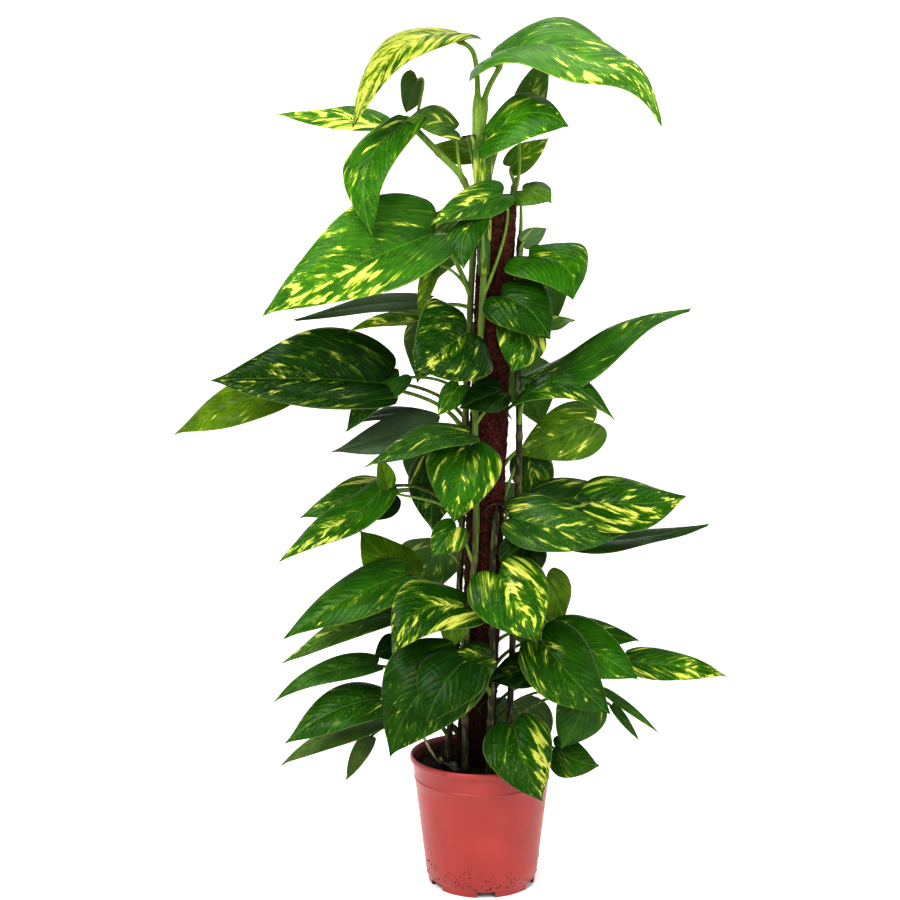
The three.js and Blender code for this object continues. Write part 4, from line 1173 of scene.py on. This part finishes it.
def petiole_rings(leaf, root, settings):
    """Ring places, thicknesses, ages and joint marks along one petiole."""
    points, reach = petiole_path(leaf, root)
    sheath = 0.9 if leaf.vine == "crown" and root[2] > CROWN_FOOT else 0.0
    shares = np.linspace(0.0, 1.0, PETIOLE_RINGS)
    places = bezier(points, shares)
    base = settings.petiole_radius / MM + 0.005 * leaf.length
    base *= 1 + 0.45 * UPRIGHT_PETIOLES.get(leaf.name, 0.0)
    thick = base * (1.0 + 0.55 * np.exp(-shares * reach / 22) - 0.12 * shares)
    thick = thick + base * sheath * np.clip((SHEATHED_LENGTH - shares * reach) / 12, 0, 1)
    from_end = (1 - shares) * reach
    knee = np.exp(-(((from_end - 9) / 6) ** 2))
    thick = thick * (1 + 0.16 * knee) * np.clip(0.35 + from_end / 4, 0, 1)
    age = PETIOLE_AGES.get(leaf.name, PLAIN_PETIOLE_AGE) * (1 - 0.3 * shares)
    return places, thick, age, 0.5 * knee


def stem_rings(points, settings, name):
    draw = random.Random(name)
    shares = np.linspace(0.0, 1.0, STEM_RINGS)
    places = np.array([on_vine(points, share) for share in shares])
    run = np.concatenate([[0], np.cumsum(np.linalg.norm(np.diff(places, axis=0), axis=1))])
    thick = settings.stem_radius / MM * np.clip((run[-1] - run) / 14, 0.25, 1.0)
    marks = np.zeros(STEM_RINGS)
    at = FIRST_JOINT
    while at < run[-1]:
        marks += np.exp(-(((run - at) / JOINT_LENGTH) ** 2))
        at += draw.uniform(*JOINT_GAPS)
    thick = thick * (1 + 0.2 * np.minimum(marks, 1))
    age = np.clip(1.0 - 0.0012 * (places[:, 2] - 150) + VINE_AGES.get(name, 0.0), 0.05, 1.0)
    return places, thick, age, np.minimum(marks, 1)


def root_rings(points, draw):
    """A short aerial root that leaves the vine and creeps to the coir."""
    start = vine_at(points, draw.uniform(*AERIAL_HEIGHTS))
    axis = pole_axis(start[2])
    inward = unit(np.array((axis[0] - start[0], axis[1] - start[1], 0.0)))
    sideways = np.cross(inward, (0, 0, 1)) * draw.choice((-1, 1))
    reach = draw.uniform(*AERIAL_REACH)
    places = []
    for share in np.linspace(0, 1, AERIAL_RINGS):
        sunk = min(share * 3, 1.0)
        place = start + inward * 5.5 * sunk + sideways * reach * share
        to_axis = np.array((place[0] - axis[0], place[1] - axis[1], 0.0))
        distance = np.linalg.norm(to_axis)
        place = place + unit(to_axis) * (max(distance, AERIAL_DISTANCE) - distance)
        places.append(place + np.array((0, 0, -reach * 0.7 * share * share)))
    thick = np.linspace(1.25, 0.5, AERIAL_RINGS)
    return np.array(places), thick, np.full(AERIAL_RINGS, 0.9), np.zeros(AERIAL_RINGS)


# ---- Operators: one for each piece or group of like pieces ----
class PothosBuildPot(bpy.types.Operator):
    """Build the nursery pot with its rolled rim, ring line, foot notches and drain holes"""

    bl_idname = "pothos.build_pot"
    bl_label = "Pot"

    def execute(self, context):
        s = context.scene.pothos_pot
        height, rim, neck = s.height / MM, s.rim_radius / MM, s.neck_radius / MM
        base, wall = s.base_radius / MM, s.wall / MM
        under_rim = height - RIM_HEIGHT
        slope = (neck - base) / under_rim
        ring = height - RING_BELOW_RIM
        foot_inside = base - 4 * wall
        floor_under = FLOOR_LEVEL - FLOOR_THICKNESS

        def outer(z):
            return base + slope * z

        disc = REST_DISC_RADIUS
        profile = [
            (0, 0), (disc - 1, 0), (disc, 0.3), (disc + 5, floor_under),
            (foot_inside, floor_under), (foot_inside + 1, 0.2), (foot_inside + 1.4, 0),
            (base - 1.6, 0), (base - 1.1, 0.4), (outer(FOOT_HEIGHT) - 1.1, FOOT_HEIGHT - 0.5),
            (outer(FOOT_HEIGHT) - 0.8, FOOT_HEIGHT), (outer(FOOT_HEIGHT), FOOT_HEIGHT + 0.8),
        ]
        profile += [(outer(z), z) for z in (30, 60, 90, 120, ring - 2.2)]
        profile += [(outer(ring) + 0.5, ring - 1.4), (outer(ring) + 0.9, ring - 0.7)]
        profile += [(outer(ring) + 0.9, ring + 0.3), (outer(ring) + 0.2, ring + 1.2)]
        profile += [(outer(under_rim) - 0.05, under_rim - 0.6), (outer(under_rim) + 0.4, under_rim)]
        for i in range(RIM_FACES + 1):
            turn = -math.pi / 2 + math.pi * i / RIM_FACES
            profile.append((rim - 1.9 + 1.9 * math.cos(turn), under_rim + 4 + 4.0 * math.sin(turn)))
        profile += [(rim - 3.2, height - 0.25), (rim - 4.0, height - 1.4)]
        profile += [(outer(under_rim) - wall, under_rim - 2)]
        profile += [(outer(FLOOR_LEVEL + 2) - wall, FLOOR_LEVEL + 2)]
        profile += [(outer(FLOOR_LEVEL) - wall - 2, FLOOR_LEVEL), (disc + 3, FLOOR_LEVEL)]
        profile += [(disc - 2, FLOOR_THICKNESS), (0, FLOOR_THICKNESS)]
        places, faces = lathe(profile, SIDES_ROUND["pot"])
        pot = mesh_piece("pot_body", places, faces, pot_finish(s))
        cutter = self.cutter(base, wall)
        cut = pot.modifiers.new("Notches and holes", "BOOLEAN")
        cut.operation = "DIFFERENCE"
        cut.object = cutter
        settled(pot)
        bpy.data.objects.remove(cutter)
        pot.data.set_sharp_from_angle(angle=math.radians(38))
        handed_in(pot, "pot", "pot")
        heights = np.linspace(FOOT_HEIGHT + 1.5, SPECK_TOP, SPECK_RINGS)
        self.build_specks([(outer(z), z) for z in heights])
        return {"FINISHED"}

    def build_specks(self, wall):
        """Grains of soil that cling to the lower part of the outside."""
        places, faces = lathe(wall, SIDES_ROUND["specks"])
        growing = []
        for place in places:
            thinning = max(0.0, 1.2 - place[2] / 56) ** 2
            growing.append(thinning * (noise.noise(Vector(place) / 9) > -0.05))
        grain = soil_grain("speck", SPECK_RADIUS)
        material = earth_finish("clinging soil", (0.012, 0.007, 0.004))
        specks = scattered("pot_specks", places, faces, growing, grain, material, SPECKS, SPECK_DENSITY)
        handed_in(specks, "soil", "pot")

    def cutter(self, base, wall):
        shape = bmesh.new()
        for i in range(FOOT_NOTCHES):
            turn = NOTCH_TURN + 2 * math.pi * i / FOOT_NOTCHES
            place = Matrix.Rotation(turn, 4, "Z") @ Matrix.Translation(((base - 2 * wall) * MM, 0, 0))
            size = (7 * wall * MM, NOTCH_WIDTH * MM, 2 * NOTCH_HEIGHT * MM, 1)
            bmesh.ops.create_cube(shape, size=1.0, matrix=place @ Matrix.Diagonal(size))
        for i in range(DRAIN_HOLES):
            turn = 2 * math.pi * (i + 0.5) / DRAIN_HOLES
            middle = Matrix.Translation((DRAIN_CIRCLE * MM, 0, FLOOR_LEVEL * MM))
            bmesh.ops.create_cone(
                shape, cap_ends=True, segments=20, radius1=DRAIN_RADIUS * MM, radius2=DRAIN_RADIUS * MM,
                depth=4 * FLOOR_THICKNESS * MM, matrix=Matrix.Rotation(turn, 4, "Z") @ middle,
            )
        return shaped("notch_cutter", shape)


class PothosBuildSoil(bpy.types.Operator):
    """Build the damp potting soil with its crumbs and bark bits"""

    bl_idname = "pothos.build_soil"
    bl_label = "Soil"

    def execute(self, context):
        s = context.scene.pothos_soil
        pot = context.scene.pothos_pot
        level = s.level / MM
        base, wall = pot.base_radius / MM, pot.wall / MM
        slope = (pot.neck_radius / MM - base) / (pot.height / MM - RIM_HEIGHT)

        def inner(z):
            return base + slope * z - wall - SOIL_GAP

        floor = FLOOR_LEVEL + SOIL_GAP
        under = FLOOR_THICKNESS + SOIL_GAP
        profile = [(0, under), (REST_DISC_RADIUS - 3, under), (REST_DISC_RADIUS + 2, floor)]
        profile += [(inner(floor) - 1.5, floor), (inner(floor + 1.5), floor + 1.5)]
        profile += [(inner(level - 4), level - 4), (inner(level - 1), level - 1.5)]
        edge = inner(level) - 0.6
        profile += [(edge * (1 - i / SOIL_RINGS), level) for i in range(SOIL_RINGS + 1)]
        places, faces = lathe(profile, SIDES_ROUND["soil"])
        growing = np.zeros(len(places))
        for i, (x, y, z) in enumerate(places):
            if z < level - 0.01:
                continue
            out = math.hypot(x, y)
            rough = noise.fractal(Vector((x / 9, y / 9, 4.2)), 1.0, 2.0, 4)
            wave = 1.6 * math.sin(x / 13) * math.cos(y / 11)
            places[i] = (x, y, z + wave * min(1, (edge - out) / 12) + 1.5 * rough)
            growing[i] = 1.0
        soil = mesh_piece("soil_body", places, faces, earth_finish("potting soil", tuple(s.colour)))
        handed_in(soil, "soil", "soil")

        crumb = soil_grain("crumb", CRUMB_RADIUS)
        material = earth_finish("soil crumb", (0.02, 0.013, 0.009))
        crumbs = scattered("soil_crumbs", places, faces, growing, crumb, material, CRUMBS, s.crumbs)
        handed_in(crumbs, "soil", "soil")
        return {"FINISHED"}


class PothosBuildPole(bpy.types.Operator):
    """Build the coir sleeve with its loose fibres, and finish the stake inside it"""

    bl_idname = "pothos.build_pole"
    bl_label = "Coir pole"

    def execute(self, context):
        s = context.scene.pothos_pole
        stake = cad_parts["pole_stake"]
        stake.data.materials.clear()
        stake.data.materials.append(wood_finish())

        radius = s.radius / MM
        length = float(np.linalg.norm(POLE_HEAD - POLE_FOOT))
        tilt = math.atan2(POLE_HEAD[0] - POLE_FOOT[0], POLE_HEAD[2] - POLE_FOOT[2])
        profile = [(COIR_BORE, 0), (radius - 2, 0), (radius - 0.5, 1)]
        profile += [(radius, length * i / COIR_RINGS) for i in range(1, COIR_RINGS)]
        profile += [(radius - 1.0, length - 1.0), (radius - 3, length)]
        profile += [(COIR_BORE, length), (COIR_BORE, 0)]
        places, faces = lathe(profile, SIDES_ROUND["coir"])
        growing = np.zeros(len(places))
        for i, (x, y, z) in enumerate(places):
            out = math.hypot(x, y)
            if out < radius - 4:
                continue
            turn = math.atan2(y, x)
            lump = COIR_LUMP * math.sin(z / 17 + 2 * math.cos(turn)) * math.cos(turn + z / 60)
            shag = COIR_SHAG * noise.fractal(Vector((x / 4.5, y / 4.5, z / 4.5)), 0.7, 2.0, 4)
            scale = (out + lump + shag) / out
            places[i] = (x * scale, y * scale, z)
            growing[i] = 1.0
        lean = np.array(Matrix.Rotation(tilt, 3, "Y"))
        places = np.array(places) @ lean.T + POLE_FOOT
        growing[places[:, 2] < context.scene.pothos_soil.level / MM] = 0.0
        sleeve = mesh_piece("pole_sleeve", places, faces, coir_finish("coir", tuple(s.colour)))
        bmesh_clean(sleeve.data)
        handed_in(sleeve, "coir", "pole_coir")

        fibre = self.fibre(s.fibre_length)
        material = coir_finish("coir fibre", tuple(1.7 * part + 0.01 for part in s.colour))
        fibres = scattered("pole_fibres", places, faces, growing, fibre, material, FIBRES, s.fibres)
        handed_in(fibres, "coir", "pole_coir")
        return {"FINISHED"}

    def fibre(self, length):
        """A curved fibre with three sides, growing along +Z."""
        places, faces = [], []
        steps, sides = 5, 3
        for i in range(steps):
            share = i / (steps - 1)
            radius = 0.2 * MM * (1 - 0.6 * share)
            bow = 0.22 * length * math.sin(math.pi * share)
            for k in range(sides):
                turn = 2 * math.pi * k / sides
                places.append((radius * math.cos(turn) + bow, radius * math.sin(turn), share * length))
        for i in range(steps - 1):
            for k in range(sides):
                a, b = i * sides + k, i * sides + (k + 1) % sides
                faces.append((a, b, b + sides, a + sides))
        faces.append(tuple(reversed(range(sides))))
        faces.append(tuple((steps - 1) * sides + k for k in range(sides)))
        mesh = bpy.data.meshes.new("fibre")
        mesh.from_pydata(places, [], faces)
        return in_scene("fibre", mesh)


class PothosBuildVine(bpy.types.Operator):
    """Build one vine: its stem, petioles and aerial roots, and its leaf blades"""

    bl_idname = "pothos.build_vine"
    bl_label = "Vine"

    vine: EnumProperty(
        name="Vine",
        description="Which vine is built",
        items=[(key, key, "The vine named " + key) for key in VINES],
    )

    def execute(self, context):
        node = VINE_NODES[self.vine]
        points = vine_points(VINES[self.vine])
        order = [row[0] for row in LEAVES]
        leaves = [Leaf(row, 0.37 * order.index(row[0]) + 1) for row in LEAVES if row[1] == self.vine]
        self.build_stalks(context, node, points, leaves)
        s = context.scene.pothos_leaf
        self.build_leafy(s, node + "_blades", [blade_parts(leaf, s) for leaf in leaves])
        if self.vine == "crown":
            # Striped sheaths clasp the crown's stem and open upwards.
            sheaths = [sheath_parts(points, number, row) for number, row in enumerate(SHEATHS)]
            self.build_leafy(s, node + "_sheaths", sheaths)
        return {"FINISHED"}

    def build_stalks(self, context, node, points, leaves):
        s = context.scene.pothos_stalk
        draw = random.Random(node)
        runs = [stem_rings(points, s, self.vine)]
        runs += [petiole_rings(leaf, vine_at(points, leaf.joins_at), s) for leaf in leaves]
        runs += [root_rings(points, draw) for _ in range(AERIAL_ROOTS)]
        edges, start = [], 0
        for run in runs:
            end = start + len(run[0])
            edges += [(i, i + 1) for i in range(start, end - 1)]
            start = end
        places, thick, ages, joints = (np.concatenate(values) for values in zip(*runs))
        layers = {"thickness": thick * MM, "age": ages, "joint": joints}
        stalks = mesh_piece(node + "_stalks", places, [], attributes=layers, edges=edges)
        material = bpy.data.materials.get("pothos stalk") or stalk_finish(s)
        tree = bpy.data.node_groups.get("Stalks along paths") or stalk_tree(material)
        grown(stalks, tree, Sides=s.sides)
        handed_in(stalks, "foliage", node)

    def build_leafy(self, settings, name, parts):
        """Build one piece of blades or sheaths, each with places, faces and attributes of its own."""
        places, faces, layers, start = [], [], {}, 0
        for own_places, own_faces, own_layers in parts:
            places.append(own_places)
            faces += [tuple(start + k for k in face) for face in own_faces]
            start += len(own_places)
            for key, values in own_layers.items():
                layers.setdefault(key, []).append(values)
        layers = {key: np.concatenate(values) for key, values in layers.items()}
        material = bpy.data.materials.get("pothos leaf") or leaf_finish(settings)
        piece = mesh_piece(name, np.vstack(places), faces, material, layers)
        handed_in(piece, "foliage", VINE_NODES[self.vine])


class PothosBuildLitter(bpy.types.Operator):
    """Build the bent dry petiole and the dead leaf scrap that lie on the soil"""

    bl_idname = "pothos.build_litter"
    bl_label = "Litter"

    def execute(self, context):
        material = litter_finish("dry petiole", (0.16, 0.13, 0.06), (0.5, 0.45, 0.26))
        rings = 40
        shares = np.linspace(0, 1, rings)
        places = [on_vine(np.array(DRY_PETIOLE), share) for share in shares]
        thick = (2.1 - 0.7 * shares + 0.35 * np.sin(21 * shares) * shares) * MM
        edges = [(i, i + 1) for i in range(rings - 1)]
        petiole = mesh_piece("dry_petiole", places, [], attributes={"thickness": thick}, edges=edges)
        grown(petiole, stalk_tree(material, "Dry stalk"), Sides=10)
        handed_in(petiole, "foliage")

        rows, columns = 14, 9
        t, a = np.meshgrid(np.linspace(0, 1, rows), np.linspace(-1, 1, columns), indexing="ij")
        half = 8 * np.sin(math.pi * (0.06 + 0.88 * t)) ** 0.8
        along = np.array(DRY_LEAF_TIP) - np.array(DRY_LEAF_HEEL)
        side = unit(np.cross((0, 0, 1), along))
        lift = 2.4 * np.sin(9 * t + 3 * a) * a * a + 3.2 * np.abs(a) * np.sin(2.6 * t + 0.5)
        top = np.array(DRY_LEAF_HEEL) + t[..., None] * along + (half * a)[..., None] * side
        top = top + lift[..., None] * np.array((0, 0, 1.0))
        under = top - np.array((0, 0, 0.6))
        places = np.vstack([top.reshape(-1, 3), under.reshape(-1, 3)])
        material = litter_finish("dry leaf", (0.02, 0.024, 0.016), (0.14, 0.15, 0.1))
        scrap = mesh_piece("dry_leaf", places, two_sheets(rows, columns), material)
        bmesh_clean(scrap.data)
        handed_in(scrap, "foliage")
        return {"FINISHED"}


class PothosBuildStage(bpy.types.Operator):
    """Build the pale floor and backdrop, the soft lights and the camera"""

    bl_idname = "pothos.build_stage"
    bl_label = "Stage"

    def execute(self, context):
        s = context.scene.pothos_stage
        flat = FLOOR_RADIUS - FLOOR_BEND
        profile = [(0.0, FLOOR_TOP), (flat, FLOOR_TOP)]
        for i in range(1, FLOOR_BEND_FACES + 1):
            turn = math.pi / 2 * i / FLOOR_BEND_FACES
            out, up = math.sin(turn), 1 - math.cos(turn)
            profile.append((flat + FLOOR_BEND * out, FLOOR_BEND * up))
        profile.append((FLOOR_RADIUS, FLOOR_RADIUS))
        places, faces = lathe(profile, SIDES_ROUND["floor"])
        look = Finish("stage paper", 0.9)
        look.set("Base Color", tuple(s.floor))
        look.set("Emission Color", (1, 1, 1))
        # No light gets under the pot, so the paper there doesn't glow.
        x, y, _ = look.parts(look.place())
        foot = context.scene.pothos_pot.base_radius
        beside_pot = (x * x + y * y).is_above(foot * foot)
        look.set("Emission Strength", beside_pot * s.glow)
        floor = mesh_piece("floor", places, [tuple(reversed(face)) for face in faces], look.material)

        self.light("key light", (-1.2, -1.7, 2.6), 1.6, s.key)
        self.light("fill light", (1.7, -1.9, 1.3), 1.5, s.fill)
        self.light("top light", (0.2, 0.3, 2.9), 1.8, s.fill * 1.1)
        world = bpy.data.worlds.new("surround")
        world.use_nodes = True
        glow = world.node_tree.nodes["Background"]
        feed(glow.inputs["Color"], (1, 1, 1))
        feed(glow.inputs["Strength"], s.surround)
        context.scene.world = world
        context.scene.view_settings.view_transform = "Standard"
        context.scene.view_settings.look = "None"
        context.scene.view_settings.gamma = s.contrast

        lens = bpy.data.cameras.new("camera")
        lens.lens = CAMERA_LENS
        camera = in_scene("camera", lens)
        camera.location = CAMERA_PLACE
        camera.rotation_euler = (math.pi / 2 - CAMERA_PITCH_DOWN, 0, 0)
        context.scene.camera = camera
        return {"FINISHED"}

    def light(self, name, place, size, power):
        lamp = bpy.data.lights.new(name, "AREA")
        lamp.shape = "DISK"
        lamp.size = size
        lamp.energy = power
        holder = in_scene(name, lamp)
        holder.location = place
        aim = Vector(LIGHT_AIM) - Vector(place)
        holder.rotation_euler = aim.to_track_quat("-Z", "Y").to_euler()


class PothosPanel(bpy.types.Panel):
    """The pothos tools in the 3D view's sidebar"""

    bl_idname = "VIEW3D_PT_pothos"
    bl_label = "Potted pothos"
    bl_space_type = "VIEW_3D"
    bl_region_type = "UI"
    bl_category = "Pothos"

    def draw(self, context):
        groups = (
            ("pothos_pot", "pothos.build_pot"),
            ("pothos_soil", "pothos.build_soil"),
            ("pothos_pole", "pothos.build_pole"),
            ("pothos_leaf", None),
            ("pothos_stalk", None),
            ("pothos_stage", "pothos.build_stage"),
        )
        for group, operator in groups:
            box = self.layout.box()
            settings = getattr(context.scene, group)
            for key in settings.bl_rna.properties.keys():
                if key not in ("rna_type", "name"):
                    box.prop(settings, key)
            if operator:
                box.operator(operator)
        self.layout.operator("pothos.build_litter")
        for key in VINES:
            self.layout.operator("pothos.build_vine", text="Vine: " + key).vine = key


GROUPS = {
    "pothos_pot": PothosPotSettings,
    "pothos_soil": PothosSoilSettings,
    "pothos_pole": PothosPoleSettings,
    "pothos_leaf": PothosLeafSettings,
    "pothos_stalk": PothosStalkSettings,
    "pothos_stage": PothosStageSettings,
}
OPERATORS = (
    PothosBuildPot, PothosBuildSoil, PothosBuildPole,
    PothosBuildVine, PothosBuildLitter, PothosBuildStage,
)


def register():
    for kind in (*GROUPS.values(), *OPERATORS, PothosPanel):
        bpy.utils.register_class(kind)
    for key, kind in GROUPS.items():
        setattr(bpy.types.Scene, key, PointerProperty(type=kind))


def unregister():
    for key in GROUPS:
        delattr(bpy.types.Scene, key)
    for kind in reversed((*GROUPS.values(), *OPERATORS, PothosPanel)):
        bpy.utils.unregister_class(kind)


def main():
    register()
    bpy.ops.pothos.build_pot()
    bpy.ops.pothos.build_soil()
    bpy.ops.pothos.build_pole()
    for key in VINES:
        bpy.ops.pothos.build_vine(vine=key)
    bpy.ops.pothos.build_litter()
    bpy.ops.pothos.build_stage()


if __name__ == "__main__":
    main()
